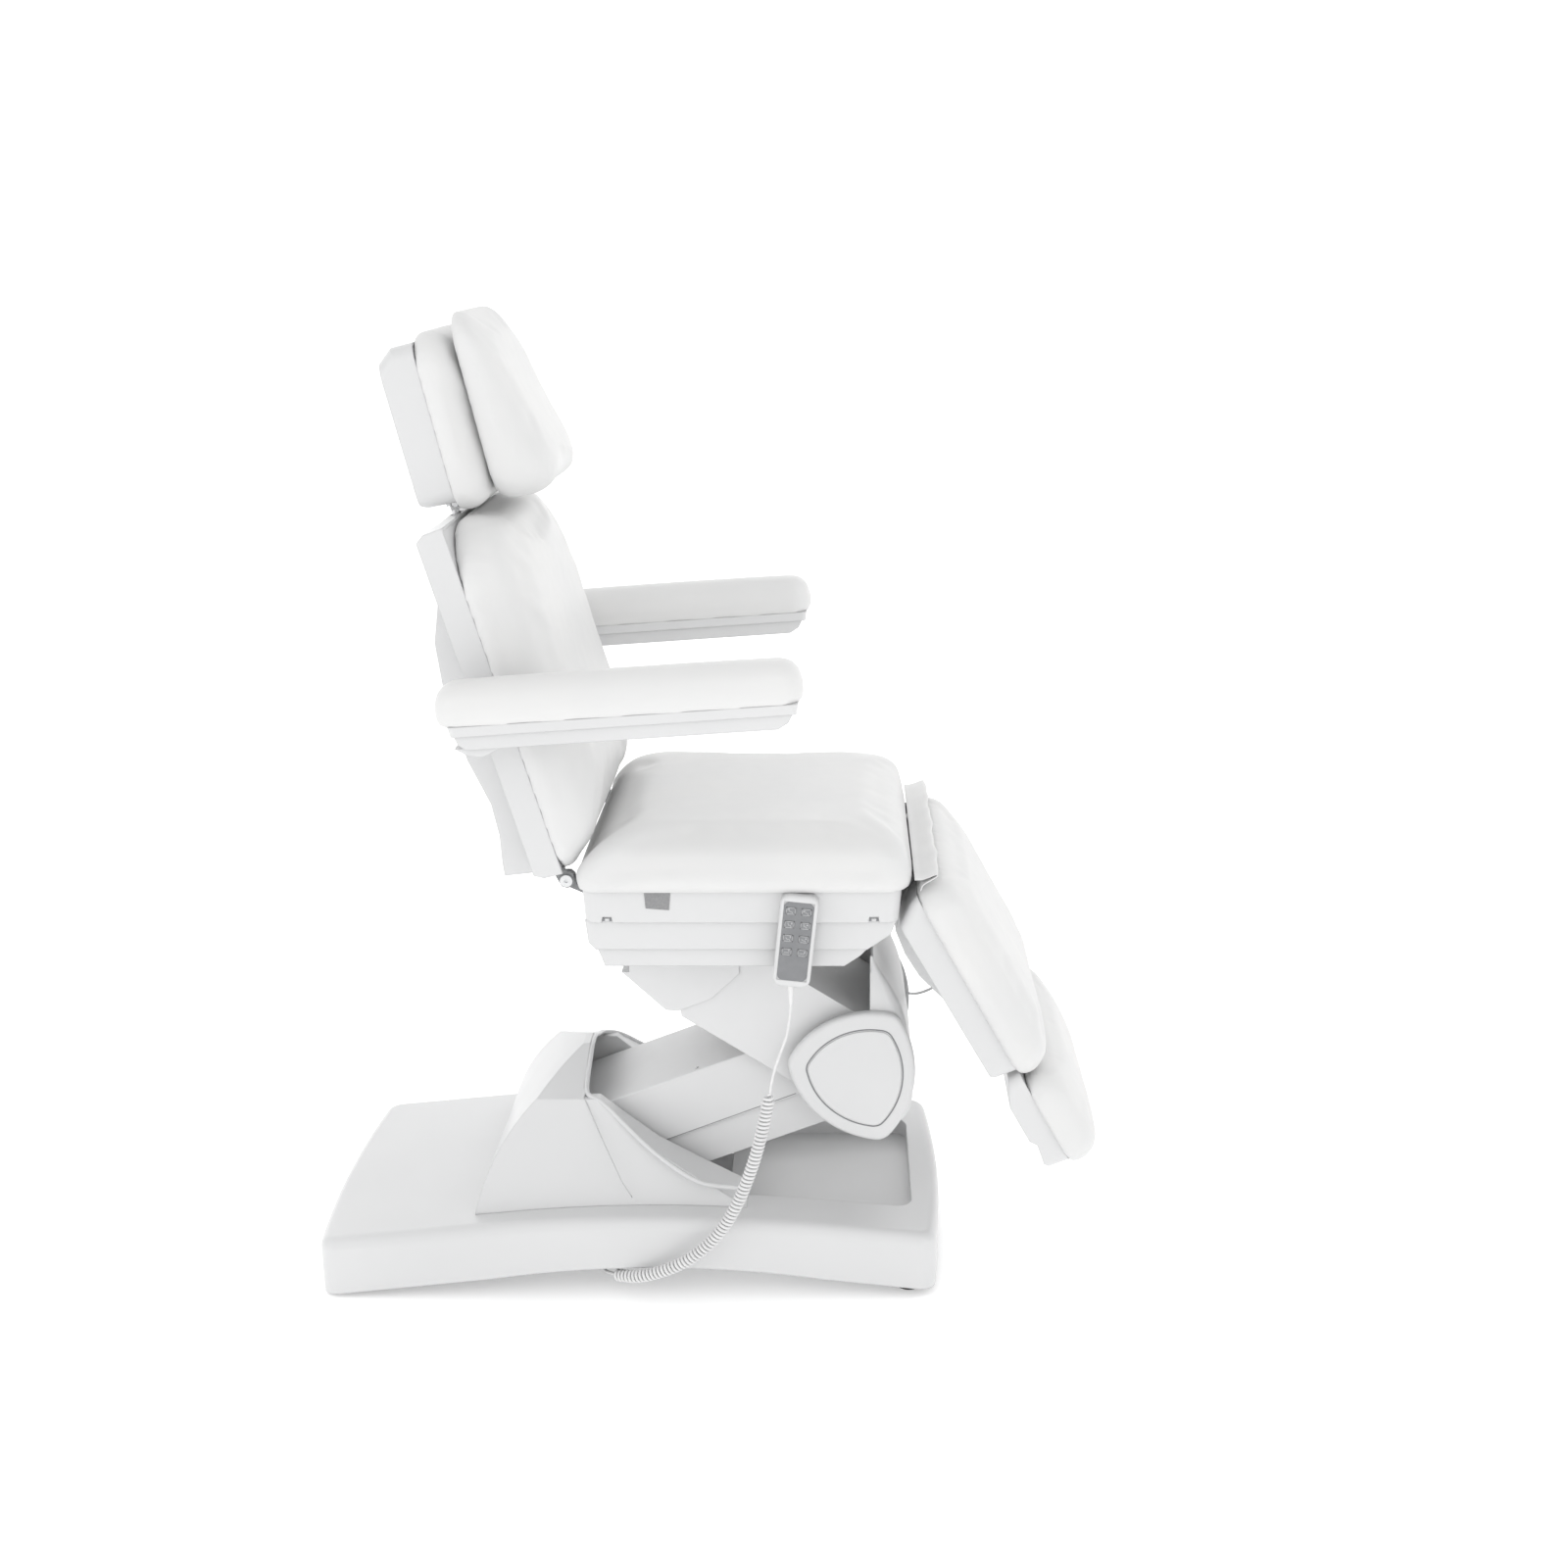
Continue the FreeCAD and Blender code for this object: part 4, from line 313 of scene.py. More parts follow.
def tag_cloth():
    """Bare woven tag in the seat seam."""
    finish = Finish("tag_cloth", (0.27, 0.27, 0.275), 0.7, Sheen_Weight=0.2)
    finish.tint(finish.texture("Noise", 500, Detail=2.0), (0.24, 0.24, 0.245),
                (0.30, 0.30, 0.305))
    for turn in ("X", "Z"):
        ribs = finish.texture("Wave", 420, bands_direction=turn)
        finish.bump(ribs, 0.00025, 0.5)
    return finish.material


def cord_sheath():
    """White soft plastic of the cords."""
    finish = Finish("cord_sheath", (0.70, 0.70, 0.70), 0.4)
    finish.tint(finish.texture("Noise", 70, Detail=3.0), (0.66, 0.66, 0.662),
                (0.73, 0.73, 0.73))
    finish.bump(finish.texture("Noise", 900, Detail=2.0), 0.0001, 0.4)
    return finish.material


UPHOLSTERY, SHELL, PAINT = "white_upholstery", "white_shell", "white_paint"
STEEL, FILM, SHEATH = "bright_steel", "grey_panel", "white_cord"
FINISHES = {
    UPHOLSTERY: leatherette(), SHELL: moulded_plastic(), PAINT: powder_coat(),
    "grey_paint": frame_paint(), STEEL: steel(), "black_plastic": dark_plastic(),
    "black_rubber": rubber(), FILM: panel_film(), SHEATH: cord_sheath()}


def wear(thing, material):
    thing.data.materials.clear()
    thing.data.materials.append(material)


def dress(thing, slot):
    """Finish of a new piece, by the record's slot."""
    wear(thing, FINISHES[slot])


for part in frame["record"]["subparts"]:
    wear(NODES[part["node"]], FINISHES[part["material_slot"]])
wear(NODES["blank_tag"], tag_cloth())


# Cords: each route, in mm, is the one that the part's own tube follows

LEAD = [(149.4, -275.4, 546.6), (146, -275.4, 500), (131, -277, 460), (119, -279, 424),
        (114, -281, 392)]
CURL = [(114, -281, 391.6), (107, -284, 352), (95, -288, 300), (80, -291, 250),
        (60, -293, 198), (34, -294, 150), (2, -293, 112), (-36, -289, 82), (-78, -282, 61),
        (-112, -273, 48), (-138, -260, 42), (-156, -246, 38)]
TAIL = [(-162, -240, 36), (-173, -229, 33), (-176, -217, 34), (-176, -214, 41),
        (-176, -214, 47.7)]
CABLE = [(292.1, 174, 644.9), (303, 174, 629.5), (311, 174, 590), (317, 174, 520),
         (323, 174, 436), (334, 174, 386), (358, 174, 368), (392, 174, 377),
         (426, 174, 401), (456.6, 174, 427.4)]
LEAD_RADIUS, WIRE_RADIUS, CABLE_RADIUS = 0.0022, 0.00255, 0.0025
CURLS = 70
CURL_POINTS = 22
COIL_RADIUS = 0.0082
COIL_FADE = 1 / 40      # share of the curled length over which the coil widens, at each end


def centreline(points):
    """The route's own smooth line, in metres."""
    data = bpy.data.curves.new("route", "CURVE")
    data.dimensions = "3D"
    data.resolution_u = 12
    spline = data.splines.new("NURBS")
    spline.points.add(len(points) - 1)
    for knot, point in zip(spline.points, points):
        knot.co = (*(Vector(point) / 1000), 1)
    spline.order_u = 3
    spline.use_endpoint_u = True
    route = object_of("route", data)
    mesh = bpy.data.meshes.new_from_object(route)
    line = vectors_of(mesh)
    bpy.data.objects.remove(route)
    bpy.data.curves.remove(data)
    bpy.data.meshes.remove(mesh)
    return line


def resample(line, count):
    """Evenly spaced points along a line."""
    along = np.concatenate([[0], np.cumsum(np.linalg.norm(np.diff(line, axis=0), axis=1))])
    wanted = np.linspace(0, along[-1], count)
    return np.stack([np.interp(wanted, along, line[:, axis]) for axis in range(3)], 1)


def sideways_along(line):
    """Two sideways directions at each point, turning as little as they can along the line."""
    tangent = np.gradient(line, axis=0)
    tangent /= np.linalg.norm(tangent, axis=1)[:, None]
    side = np.cross(tangent[0], (0, 1, 0))
    side /= np.linalg.norm(side)
    sides = []
    for direction in tangent:
        side = side - direction * np.dot(side, direction)
        side /= np.linalg.norm(side)
        sides.append(side)
    sides = np.array(sides)
    return sides, np.cross(tangent, sides)


def tube_mesh(name, line, radius, around=10):
    """Closed tube through the points of a line."""
    side, up = sideways_along(line)
    turn = np.arange(around) * math.tau / around
    rings = line[:, None, :] + radius * (
        side[:, None, :] * np.cos(turn)[None, :, None]
        + up[:, None, :] * np.sin(turn)[None, :, None])
    return mesh_of(name, rings.reshape(-1, 3), quads_between_rings(len(line), around))


def curly_line():
    """Helix of the curled cord, fading at both ends, and the plain tail after it."""
    base = resample(centreline(CURL + TAIL), CURLS * CURL_POINTS + 1)
    side, up = sideways_along(base)
    curled = np.linalg.norm(base - np.array(CURL[-1]) / 1000, axis=1).argmin() / len(base)
    share = np.clip(np.linspace(0, 1, len(base)) / curled, 0, 1)
    turn = share * CURLS * math.tau
    ease = np.clip(np.minimum(share, 1 - share) / COIL_FADE, 0, 1)
    radius = COIL_RADIUS * ease * ease * (3 - 2 * ease)
    return base + radius[:, None] * (side * np.cos(turn)[:, None] + up * np.sin(turn)[:, None])


def cord(name, node, path, radius, start, end):
    """Cord in place of a node, fixed where it lies in the scene; its start and end are not
    used.
    """
    start, end = Vector(start) / 1000, Vector(end) / 1000
    thing = object_of(name, tube_mesh(name, path, radius))
    smooth(thing)
    dress(thing, SHEATH)
    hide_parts(node)
    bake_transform(thing)


def make_cords():
    lead = centreline(LEAD)
    cord("lead_tube", "handset_lead", resample(lead, 90), LEAD_RADIUS,
         LEAD[0], CURL[0])
    helix = curly_line()
    cord("curly_tube", "curly_cord", helix, WIRE_RADIUS,
         CURL[0], CURL[-1])
    cable = resample(centreline(CABLE), 120)
    cord("leg_tube", "leg_cable", cable, CABLE_RADIUS,
         CABLE[0], CABLE[-1])


make_cords()


# Upholstery: each pad starts from its own solid, is blown up a little as cloth, and eased

HELD_HEIGHT = 0.006     # of the underside that is fixed to its board
RIM_TUCK = 0.0015
SHRINK = 0.0015         # before the cloth is blown up
LOOSE_FROM, LOOSE_OVER = 0.002, 0.012
FADE_OVER = 0.03
REAR_REACH = 0.09
CLOTH_FRAMES = 20
EASING_BEFORE, EASING_AFTER = 14, 10


def local_axes(dip):
    """Directions along and out of a pad that is dipped by an angle in degrees."""
    turn = math.radians(dip)
    along = Vector((math.cos(turn), 0, -math.sin(turn)))
    out = Vector((math.sin(turn), 0, math.cos(turn)))
    return np.array(along), np.array(out)


def blob_of(node, name, voxel):
    """Evenly meshed closed copy of a node's solid."""
    data = NODES[node].data.copy()
    welder = bmesh.new()
    welder.from_mesh(data)
    bmesh.ops.remove_doubles(welder, verts=welder.verts, dist=0.00002)
    welder.to_mesh(data)
    welder.free()
    thing = object_of(name, data)
    remesh = thing.modifiers.new("remesh", "REMESH")
    remesh.mode = "VOXEL"
    remesh.voxel_size = voxel
    apply_modifiers(thing)
    return thing


def eased(mesh, points, rounds, weight):
    """Points of the mesh smoothed without shrinking; weight is 0 where they stay."""
    count = len(points)
    flat = np.zeros(len(mesh.edges) * 2, np.int32)
    mesh.edges.foreach_get("vertices", flat)
    first, second = flat.reshape(-1, 2).T
    degree = np.bincount(first, minlength=count) + np.bincount(second, minlength=count)
    for factor in (0.5, -0.52) * rounds:
        total = np.stack([np.bincount(first, points[second, axis], count)
                          + np.bincount(second, points[first, axis], count)
                          for axis in range(3)], 1)
        points = points + factor * weight[:, None] * (total / degree[:, None] - points)
    return points


def inflate(thing, held, pressure):
    """Points of the piece as cloth under inside pressure, with the held ones fixed."""
    group = thing.vertex_groups.new(name="held")
    group.add([int(i) for i in np.nonzero(held)[0]], 1.0, "REPLACE")
    cloth = thing.modifiers.new("cloth", "CLOTH")
    settings = cloth.settings
    settings.quality = 4
    settings.mass = 0.35
    settings.tension_stiffness = 18
    settings.compression_stiffness = 18
    settings.shear_stiffness = 8
    settings.bending_stiffness = 1.2
    settings.use_pressure = True
    settings.uniform_pressure_force = pressure
    settings.vertex_group_mass = "held"
    settings.effector_weights.gravity = 0
    cloth.collision_settings.use_collision = False
    cloth.point_cache.frame_start = 1
    cloth.point_cache.frame_end = CLOTH_FRAMES
    for number in range(1, CLOTH_FRAMES + 1):
        SCENE.frame_set(number)
    graph = bpy.context.evaluated_depsgraph_get()
    blown = vectors_of(thing.evaluated_get(graph).data)
    thing.modifiers.clear()
    thing.vertex_groups.clear()
    SCENE.frame_set(1)
    return blown


def blow_up(thing, rest, height, loose, pressure, cap):
    """Cloth form of a pad, with no point further than cap from where it was at rest."""
    set_positions(thing.data, rest - vectors_of(thing.data, "normal") * SHRINK)
    blown = inflate(thing, height < HELD_HEIGHT, pressure)
    moved = blown - rest
    size = np.linalg.norm(moved, axis=1)
    moved *= (cap * np.tanh(size / cap) / np.maximum(size, 1e-9))[:, None]
    fade = np.clip((height - HELD_HEIGHT) / FADE_OVER, 0, 1)
    set_positions(thing.data,
                  eased(thing.data, rest + moved * fade[:, None], EASING_AFTER, loose))


def pad(node, body, dip, voxel, pressure, cap, rear=0.0):
    """Upholstered pad in place of a node's plain solid; rear fills out its rear side."""
    thing = blob_of(node, "pad_" + node, voxel)
    _, out = local_axes(dip)
    rough = vectors_of(thing.data)
    height = rough @ out
    height -= height.min()
    loose = np.clip((height - LOOSE_FROM) / LOOSE_OVER, 0, 1)
    rest = eased(thing.data, rough, EASING_BEFORE, loose)
    rest -= np.outer(RIM_TUCK * (1 - loose), out)
    rear_share = np.clip((rest[:, 0].min() + REAR_REACH - rest[:, 0]) / REAR_REACH, 0, 1)
    rest[:, 0] -= rear * loose * rear_share * np.sin(np.pi * height / height.max())
    set_positions(thing.data, rest)
    blow_up(thing, rest, height, loose, pressure, cap)
    divide = thing.modifiers.new("divide", "SUBSURF")
    divide.levels = divide.render_levels = 1
    apply_modifiers(thing)
    smooth(thing)
    dress(thing, UPHOLSTERY)
    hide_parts(node)
    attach(thing, body)


pad("seat_cushion", "seat", 0, voxel=0.008, pressure=2.5, cap=0.008, rear=0.007)
pad("back_cushion", "backrest", BACK_DIP, voxel=0.008, pressure=2.5, cap=0.008)
pad("head_cushion", "headrest", HEAD_DIP, voxel=0.006, pressure=2.5, cap=0.005)
pad("head_pillow", "headrest", HEAD_DIP, voxel=0.006, pressure=3.0, cap=0.007)
pad("leg_cushion", "legrest", LEG_DIP, voxel=0.007, pressure=2.5, cap=0.006)
pad("foot_cushion", "footrest", LEG_DIP, voxel=0.006, pressure=2.5, cap=0.005)
pad("arm_pad_left", "arm_left", ARM_DIP, voxel=0.006, pressure=2.5, cap=0.004)
pad("arm_pad_right", "arm_right", ARM_DIP, voxel=0.006, pressure=2.5, cap=0.004)


# Boards that close the shells behind the pads, and the plate under the base's well

BOARD_INSET = 0.0035
BOARD_DEPTH = 0.0012    # of its face below the shell's rim
BOARD_THICK = 0.003
RIM_BAND = 0.001
WELL_X, WELL_Y, WELL_Z = (-0.336, 0.044), 0.126, (0.0634, 0.0666)


def outline_round(points):
    """Convex outline of flat points, counter-clockwise."""
    points = sorted({(round(a, 5), round(b, 5)) for a, b in points})

    def chain(sequence):
        kept = []
        for point in sequence:
            while len(kept) > 1 and ((kept[-1][0] - kept[-2][0]) * (point[1] - kept[-2][1])
                                     <= (kept[-1][1] - kept[-2][1]) * (point[0] - kept[-2][0])):
                kept.pop()
            kept.append(point)
        return kept[:-1]

    return chain(points) + chain(reversed(points))


def plate(name, outline, place, low, high, slot, body):
    """Flat plate; place turns a point of the outline and a height into a point in space."""
    count = len(outline)
    vertices = [place(a, b, height) for height in (low, high) for a, b in outline]
    faces = [tuple(range(count))[::-1], tuple(range(count, 2 * count))]
    faces += [(k, (k + 1) % count, count + (k + 1) % count, count + k) for k in range(count)]
    thing = object_of(name, mesh_of(name, vertices, faces))
    bevel_rim(thing, 0.0008)
    dress(thing, slot)
    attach(thing, body)


def board(shell, body, dip):
    """Board just inside a shell's rim, which the pad is fixed to."""
    along, out = local_axes(dip)
    points = vectors_of(NODES[shell].data)
    height = points @ out
    top = height.max()
    rim = points[height > top - RIM_BAND]
    flat = np.stack([rim @ along, rim[:, 1]], 1)
    middle = (flat.max(0) + flat.min(0)) / 2
    reach = (flat.max(0) - flat.min(0)) / 2
    flat = middle + (flat - middle) * (1 - BOARD_INSET / reach)
    plate("board_" + shell, outline_round(flat),
          lambda a, b, h: tuple(along * a + out * h + np.array((0, b, 0))),
          top - BOARD_DEPTH - BOARD_THICK, top - BOARD_DEPTH, SHELL, body)


board("back_shell", "backrest", BACK_DIP)
board("head_shell", "headrest", HEAD_DIP)
board("leg_shell", "legrest", LEG_DIP)
board("foot_shell", "footrest", LEG_DIP)
plate("under_plate",
      [(WELL_X[0], -WELL_Y), (WELL_X[1], -WELL_Y), (WELL_X[1], WELL_Y), (WELL_X[0], WELL_Y)],
      lambda a, b, h: (a, b, h), *WELL_Z, PAINT, "base")


# Flap of upholstery over the gap between seat and legrest

FLAP_WIDTH = 0.52
FLAP_THICK = 0.0016
FLAP_DROOP = 0.0016     # of its two ends
FLAP_LINE = [(346.0, 0, 751.6), (350, 0, 752.2), (357, 0, 752.8), (369, 0, 757.8),
             (378, 0, 762.4), (383.4, 0, 763.8), (384.2, 0, 760.6), (378, 0, 756.6),
             (368, 0, 749.4), (360, 0, 744.2), (357.6, 0, 739), (355.6, 0, 733)]
FLAP_COLUMNS, FLAP_ROWS = 44, 90


def make_flap():
    profile = resample(centreline(FLAP_LINE), FLAP_COLUMNS)
    vertices = []
    for y in np.linspace(-FLAP_WIDTH / 2, FLAP_WIDTH / 2, FLAP_ROWS):
        droop = FLAP_DROOP * ((y / FLAP_WIDTH) * 2) ** 4
        for column, point in enumerate(profile):
            share = column / (FLAP_COLUMNS - 1)
            swell = math.sin(math.pi * share)
            wave = 0.0011 * math.sin(37 * y + 1.3) + 0.0008 * math.sin(83 * y + 4 * share)
            vertices.append((point[0] + swell * wave, y,
                             point[2] + swell * (wave * 0.8 - droop)))
    faces = []
    for row in range(FLAP_ROWS - 1):
        for column in range(FLAP_COLUMNS - 1):
            a = row * FLAP_COLUMNS + column
            faces.append((a, a + 1, a + FLAP_COLUMNS + 1, a + FLAP_COLUMNS))
    thing = object_of("flap_cloth", mesh_of("flap_cloth", vertices, faces))
    thick = thing.modifiers.new("thick", "SOLIDIFY")
    thick.thickness = FLAP_THICK
    thick.offset = 0
    bevel_rim(thing, 0.0005)
    smooth(thing)
    dress(thing, UPHOLSTERY)
    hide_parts("gap_flap")
    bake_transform(thing)


make_flap()


# Rolled lips, creases, dark lines of painted shade in the knee covers' grooves, joint lines,
# screws and clips; places and sizes in mm

HOOD_EDGE = [(70, 210, 179), (20, 211, 184), (-16, 210, 191), (-84, 188, 230),
             (-138, 161, 272), (-180, 139, 308), (-204, 132, 313), (-208, 118, 320),
             (-209, 90, 331), (-209, 63, 340), (-209, 40, 350), (-209, 20, 358)]
HOOD_CREASE = [(-208, 140, 310), (-176, 176, 253), (-141, 213, 194), (-124, 213.6, 164)]
LIP_RADIUS, CREASE_RADIUS, GROOVE_SHADE_RADIUS = 0.0042, 0.0008, 0.0011

ARM_JOINT = [(-92, 208.8), (152, 304.2)]    # ends of the lower arm's joint line, X and Z
ARM_JOINT_Y = 104
ARM_SCREW = (-20, 93, 347.9)
ARM_TOP_NORMAL = (-0.358, 0, 0.934)
TRAY_CLIPS_X = (-142, 282)
TRAY_SIDE_Y, TRAY_CLIPS_Z = 260.6, 685
# The dark slot of each tray clip is painted shade in the tray's notch; its tab is white shell
SLOT_SHADE_SIZE, TAB_SIZE = (15, 5.2, 0.9), (7.5, 4.2, 2.8)

SCREW_PROFILE = [(3.2, -0.6), (3.2, 0.7), (2.7, 1.3), (1.5, 1.5), (1.3, 0.5), (0.4, 0.4)]
SCREW_STEPS = 24

# The groove round each knee cover's raised middle is drawn as a dark tube of painted shade
GROOVE_SHADE_SPREAD = 0.0028      # outwards from the raised middle of a knee cover
GROOVE_SHADE_BELOW = 0.0021       # its face
FACE_BAND = 0.0008


def edge_line(name, line, radius, slot, body):
    """Thin rounded bead along a line of points in metres."""
    thing = object_of(name, tube_mesh(name, line, radius, around=12))
    smooth(thing)
    dress(thing, slot)
    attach(thing, body)


def screw(name, place, normal, body):
    """Round screw head with a recess, standing on a surface."""
    turn = Vector(normal).to_track_quat("Z", "Y")
    vertices = []
    for radius, height in SCREW_PROFILE:
        for step in range(SCREW_STEPS):
            angle = math.tau * step / SCREW_STEPS
            spot = Vector((radius * math.cos(angle), radius * math.sin(angle), height)) / 1000
            vertices.append(Vector(place) / 1000 + turn @ spot)
    faces = quads_between_rings(len(SCREW_PROFILE), SCREW_STEPS)
    thing = object_of(name, mesh_of(name, vertices, faces))
    dress(thing, STEEL)
    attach(thing, body)


def tab(name, center, along, out, size, slot, body):
    """Small block with rounded edges: its size is along, across and out."""
    along, out = Vector(along).normalized(), Vector(out).normalized()
    across = out.cross(along)
    vertices = [Vector(center) / 1000
                + (along * size[0] * a + across * size[1] * b + out * size[2] * c) / 2000
                for c in (-1, 1) for b in (-1, 1) for a in (-1, 1)]
    faces = [(0, 2, 3, 1), (4, 5, 7, 6), (0, 1, 5, 4), (2, 6, 7, 3), (0, 4, 6, 2), (1, 3, 7, 5)]
    thing = object_of(name, mesh_of(name, vertices, faces))
    bevel_rim(thing, 0.0007, segments=3)
    smooth(thing)
    dress(thing, slot)
    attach(thing, body)


def cover_groove_shade(side, sign):
    """Dark grey tube of painted shade lying in the groove round the raised middle of a knee
    cover.
    """
    points = vectors_of(NODES["knee_side_covers"].data)
    points = points[points[:, 1] * sign > 0]
    reach = np.abs(points[:, 1]).max()
    face = points[np.abs(points[:, 1]) > reach - FACE_BAND]
    ring = np.array(outline_round(face[:, (0, 2)]))
    middle = (ring.max(0) + ring.min(0)) / 2
    distance = np.linalg.norm(ring - middle, axis=1)
    ring = middle + (ring - middle) * (1 + GROOVE_SHADE_SPREAD / distance)[:, None]
    loop = np.concatenate([ring, ring[:2]])
    depth = np.full(len(loop), sign * (reach - GROOVE_SHADE_BELOW))
    line = np.stack([loop[:, 0], depth, loop[:, 1]], 1)
    edge_line("cover_groove_shade_" + side, resample(line, 160), GROOVE_SHADE_RADIUS, FILM, "knee")


def mirrored(points, sign):
    """Points from mm to metres, on the near side for sign -1 and the far side for 1."""
    return np.array([(x / 1000, sign * y / 1000, z / 1000) for x, y, z in points])


def make_edges():
    hood = [(x, -y, z) for x, y, z in HOOD_EDGE] + HOOD_EDGE[::-1]
    edge_line("hood_lip", resample(centreline(hood), 180), LIP_RADIUS, SHELL, "base")
    (ax, az), (bx, bz) = ARM_JOINT
    for side, sign in (("near", -1), ("far", 1)):
        edge_line("hood_crease_" + side, resample(mirrored(HOOD_CREASE, sign), 40),
                  CREASE_RADIUS, SHELL, "base")
        tab("arm_joint_" + side, ((ax + bx) / 2, sign * ARM_JOINT_Y, (az + bz) / 2),
            (bx - ax, 0, bz - az), (0, sign, 0), (math.hypot(bx - ax, bz - az), 1.5, 0.5),
            FILM, "lower_arm")
        x, y, z = ARM_SCREW
        screw("arm_screw_" + side, (x, sign * y, z), ARM_TOP_NORMAL, "lower_arm")
        # dark line of painted shade in the knee cover's groove
        cover_groove_shade(side, sign)
        # tray clips: a dark block of painted notch shade under a white tab
        for number, x in enumerate(TRAY_CLIPS_X, 1):
            for kind, size, slot in (("slot", SLOT_SHADE_SIZE, FILM), ("tab", TAB_SIZE, SHELL)):
                tab("tray_clip_%d_%s_%s" % (number, side, kind),
                    (x, sign * TRAY_SIDE_Y, TRAY_CLIPS_Z), (1, 0, 0), (0, sign, 0), size,
                    slot, "seat")


make_edges()


# Keys: an outline and a plain drawing on each, printed a hair proud of the film; in mm

HANDSET_LEAN = math.radians(6.2)
KEY_X = Vector((math.cos(HANDSET_LEAN), 0, -math.sin(HANDSET_LEAN)))
KEY_Z = Vector((math.sin(HANDSET_LEAN), 0, math.cos(HANDSET_LEAN)))
KEY_FRAME = (14.2, 10.2, 1.6)       # width, height and corner radius
STROKE = 0.42
STROKE_OVERRUN = 0.35               # past its ends, as a share of its width
PRINT_FROM, PRINT_TO = -0.00005, 0.00012    # behind and proud of the key's face, in metres


def arrow(x, tail, tip):
    """Upright arrow from its tail's height to its tip's."""
    barb = tip - math.copysign(1, tip - tail)
    return [[(x, tail), (x, tip)], [(x - 1, barb), (x, tip), (x + 1, barb)]]


BACK_DOWN = [[(-3.6, 0.6), (-1.4, -1.6), (1.6, -1.6), (3.2, -3.4)]]
SEAT_LINE = [[(-2.6, 3.2), (-1.6, -1.2), (1.6, -1.2), (2.6, -3.6)]]
FLAT_LINE = [[(-3.8, -1.4), (3.8, -1.4)]]
UP, DOWN = arrow(3.4, 0.6, 3.4), arrow(3.4, 3.4, 0.6)
LEFT_UP, LEFT_DOWN = arrow(-4.6, 0.4, 3.4), arrow(-4.6, 3.4, 0.4)
DRAWINGS = [
    SEAT_LINE + LEFT_UP, SEAT_LINE + LEFT_DOWN, SEAT_LINE + UP, SEAT_LINE + DOWN,
    BACK_DOWN + UP, BACK_DOWN + DOWN, FLAT_LINE + UP, FLAT_LINE + DOWN]


def rounded_box(width, height, radius, steps=5):
    points = []
    for turn, sign_x, sign_y in ((0, 1, 1), (90, -1, 1), (180, -1, -1), (270, 1, -1)):
        for step in range(steps + 1):
            angle = math.radians(turn + 90 * step / steps)
            points.append((sign_x * (width / 2 - radius) + radius * math.cos(angle),
                           sign_y * (height / 2 - radius) + radius * math.sin(angle)))
    return points + [points[0]]


def ribbons(strokes, center):
    """Vertices and faces of flat raised strokes, drawn on a key's face."""
    vertices, faces = [], []
    for stroke in strokes:
        for a, b in zip(stroke, stroke[1:]):
            start, end = Vector(a), Vector(b)
            along = (end - start).normalized()
            side = Vector((-along.y, along.x)) * STROKE / 2
            reach = along * STROKE * STROKE_OVERRUN
            start, end = start - reach, end + reach
            first = len(vertices)
            for depth in (PRINT_FROM, PRINT_TO):
                for corner in (start + side, end + side, end - side, start - side):
                    vertices.append(center + (KEY_X * corner.x + KEY_Z * corner.y) / 1000
                                    - Vector((0, depth, 0)))
            for face in ((0, 1, 2, 3), (7, 6, 5, 4), (0, 4, 5, 1), (1, 5, 6, 2),
                         (2, 6, 7, 3), (3, 7, 4, 0)):
                faces.append(tuple(first + corner for corner in face))
    return vertices, faces


def make_prints():
    ink = printed_line()
    for number, drawing in enumerate(DRAWINGS, 1):
        low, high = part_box("key_%d" % number)
        center = (low + high) / 2
        center.y = low.y
        name = "print_%d" % number
        strokes = [rounded_box(*KEY_FRAME)] + drawing
        thing = object_of(name, mesh_of(name, *ribbons(strokes, center)))
        wear(thing, ink)
        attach(thing, "key_%d" % number)


make_prints()


# Floor and light

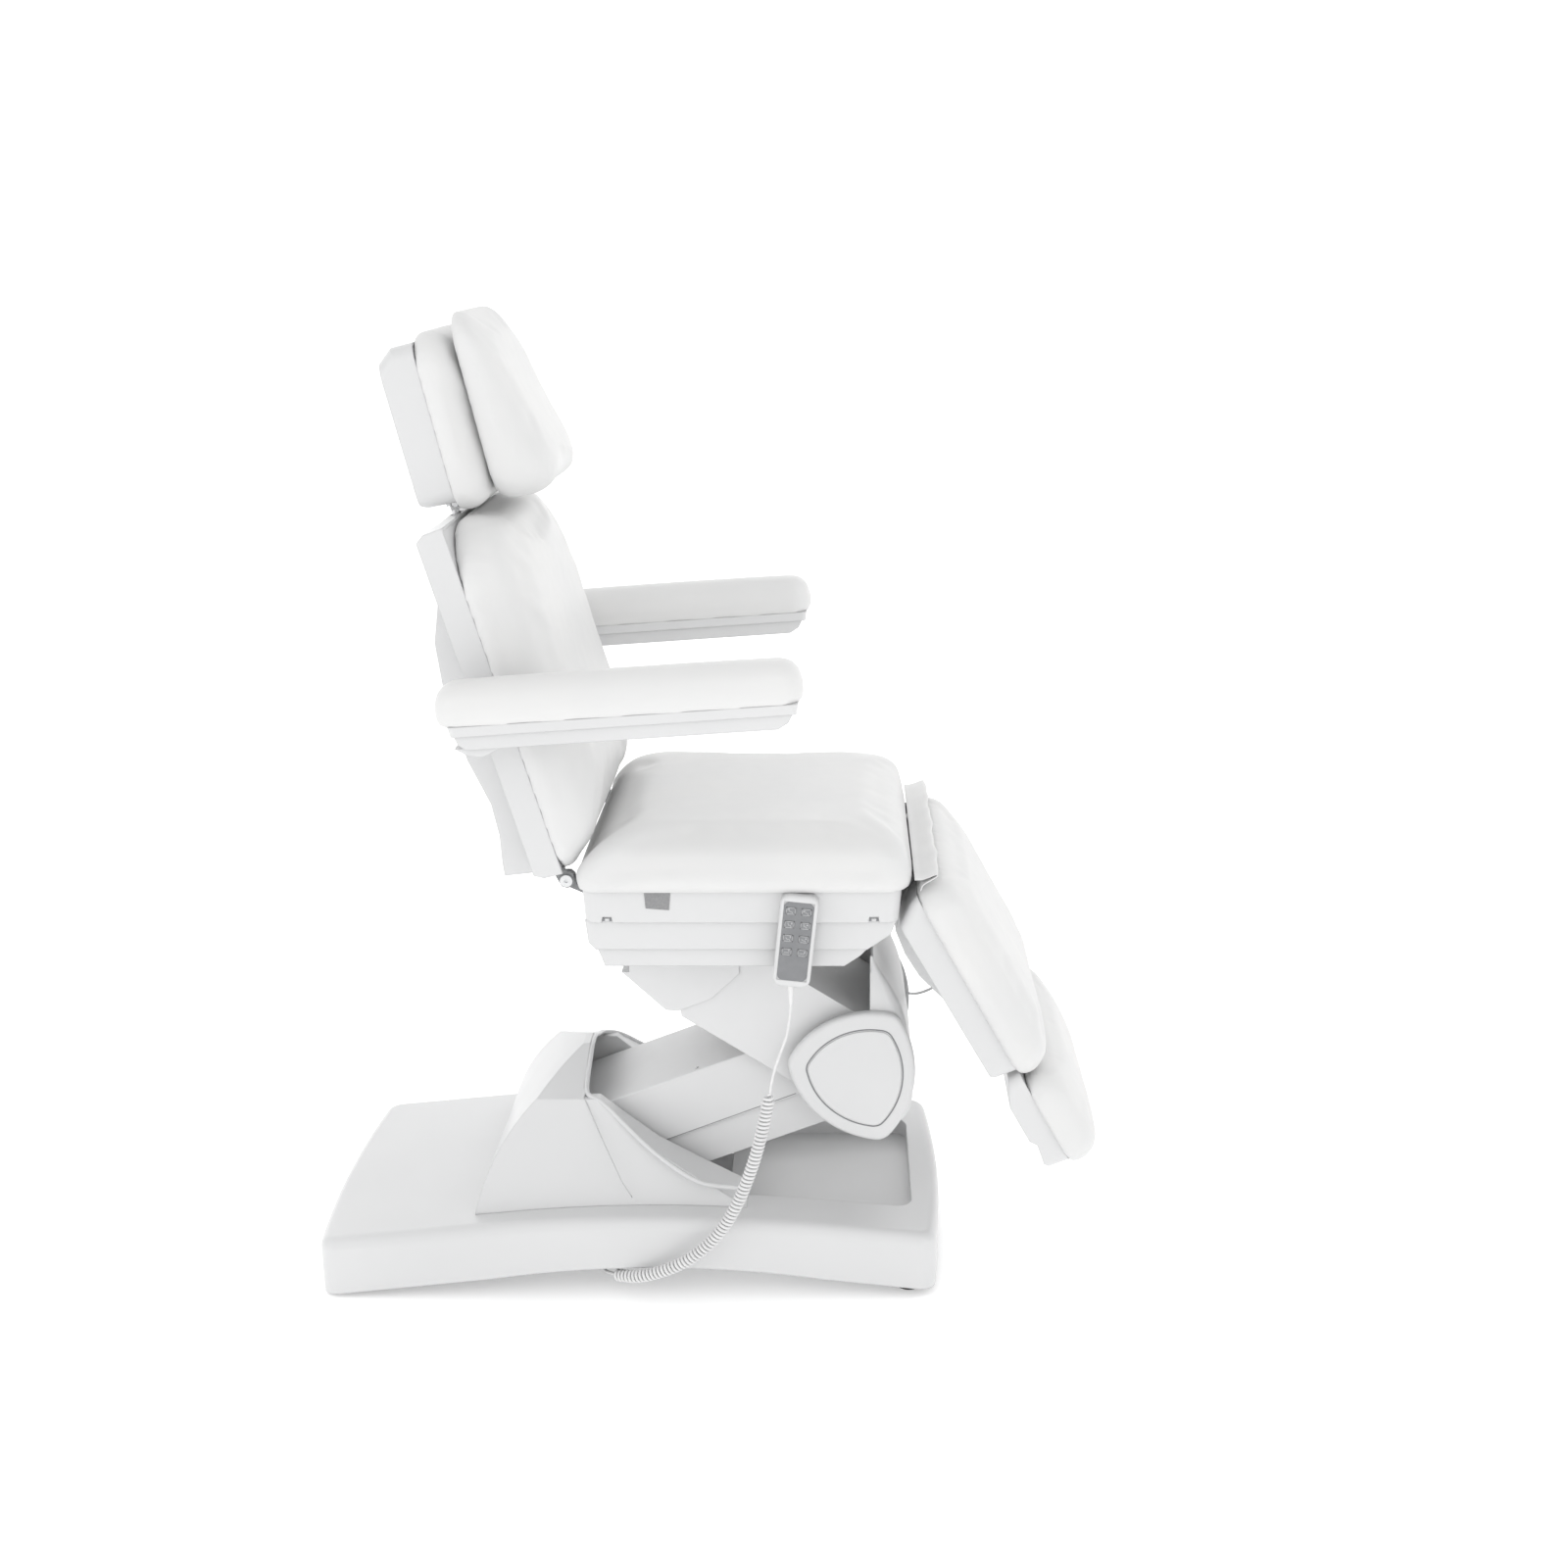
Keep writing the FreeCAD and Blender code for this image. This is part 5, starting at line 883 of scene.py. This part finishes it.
FLOOR_HALF_WIDTH, FLOOR_NEAR, WALL_HEIGHT = 16, -11, 12
SWEEP_START, SWEEP_RADIUS, SWEEP_STEPS = 3.2, 3.5, 12
FLOOR_TONE = 0.95
LIGHTS = [
    # name, place, aim, width and height, watts
    ("front", (-0.2, -3.6, 2.9), (0, 0, 0.5), (2.8, 2.2), 13),
    ("left", (-2.9, -2.0, 1.8), (-0.1, 0, 0.35), (1.8, 1.6), 11),
    ("right", (2.6, -2.7, 1.7), (0.2, 0, 0.3), (1.8, 1.6), 10),
    ("back", (0.0, 3.0, 1.4), (0.1, 0, 0.3), (3.2, 1.2), 7),
    ("right_back", (3.4, 2.0, 2.2), (0, 0, 0.8), (2.0, 2.4), 4)]


def make_floor():
    """Pale floor that sweeps up behind into a wall, with no edge between them."""
    profile = [(FLOOR_NEAR, 0), (SWEEP_START, 0)]
    for step in range(1, SWEEP_STEPS + 1):
        turn = math.radians(90 * step / SWEEP_STEPS)
        profile.append((SWEEP_START + SWEEP_RADIUS * math.sin(turn),
                        SWEEP_RADIUS - SWEEP_RADIUS * math.cos(turn)))
    profile.append((SWEEP_START + SWEEP_RADIUS, WALL_HEIGHT))
    vertices = [(x, y, z) for y, z in profile for x in (-FLOOR_HALF_WIDTH, FLOOR_HALF_WIDTH)]
    faces = [(2 * k, 2 * k + 1, 2 * k + 3, 2 * k + 2) for k in range(len(profile) - 1)]
    floor = object_of("floor", mesh_of("floor", vertices, faces))
    smooth(floor)
    finish = Finish("pale_floor", (FLOOR_TONE,) * 3, 0.8, Specular_IOR_Level=0.2,
                    Emission_Color=(1, 1, 1, 1), Emission_Strength=0.3)
    finish.tint(finish.texture("Noise", 0.5, Detail=2.0), (FLOOR_TONE - 0.005,) * 3,
                (FLOOR_TONE + 0.005,) * 3)
    wear(floor, finish.material)


def make_lights():
    world = bpy.data.worlds.new("studio")
    world.use_nodes = True
    background = world.node_tree.nodes["Background"]
    background.inputs["Color"].default_value = (1, 1, 1, 1)
    background.inputs["Strength"].default_value = 1.0
    SCENE.world = world
    for name, place, aim, size, power in LIGHTS:
        data = bpy.data.lights.new(name, "AREA")
        data.shape = "RECTANGLE"
        data.size, data.size_y = size
        data.energy = power
        light = bpy.data.objects.new(name, data)
        light.location = place
        toward = Vector(aim) - Vector(place)
        light.rotation_euler = toward.to_track_quat("-Z", "Y").to_euler()
        light.visible_camera = False
        SCENE.collection.objects.link(light)


make_floor()
make_lights()
SCENE.view_settings.view_transform = "Standard"
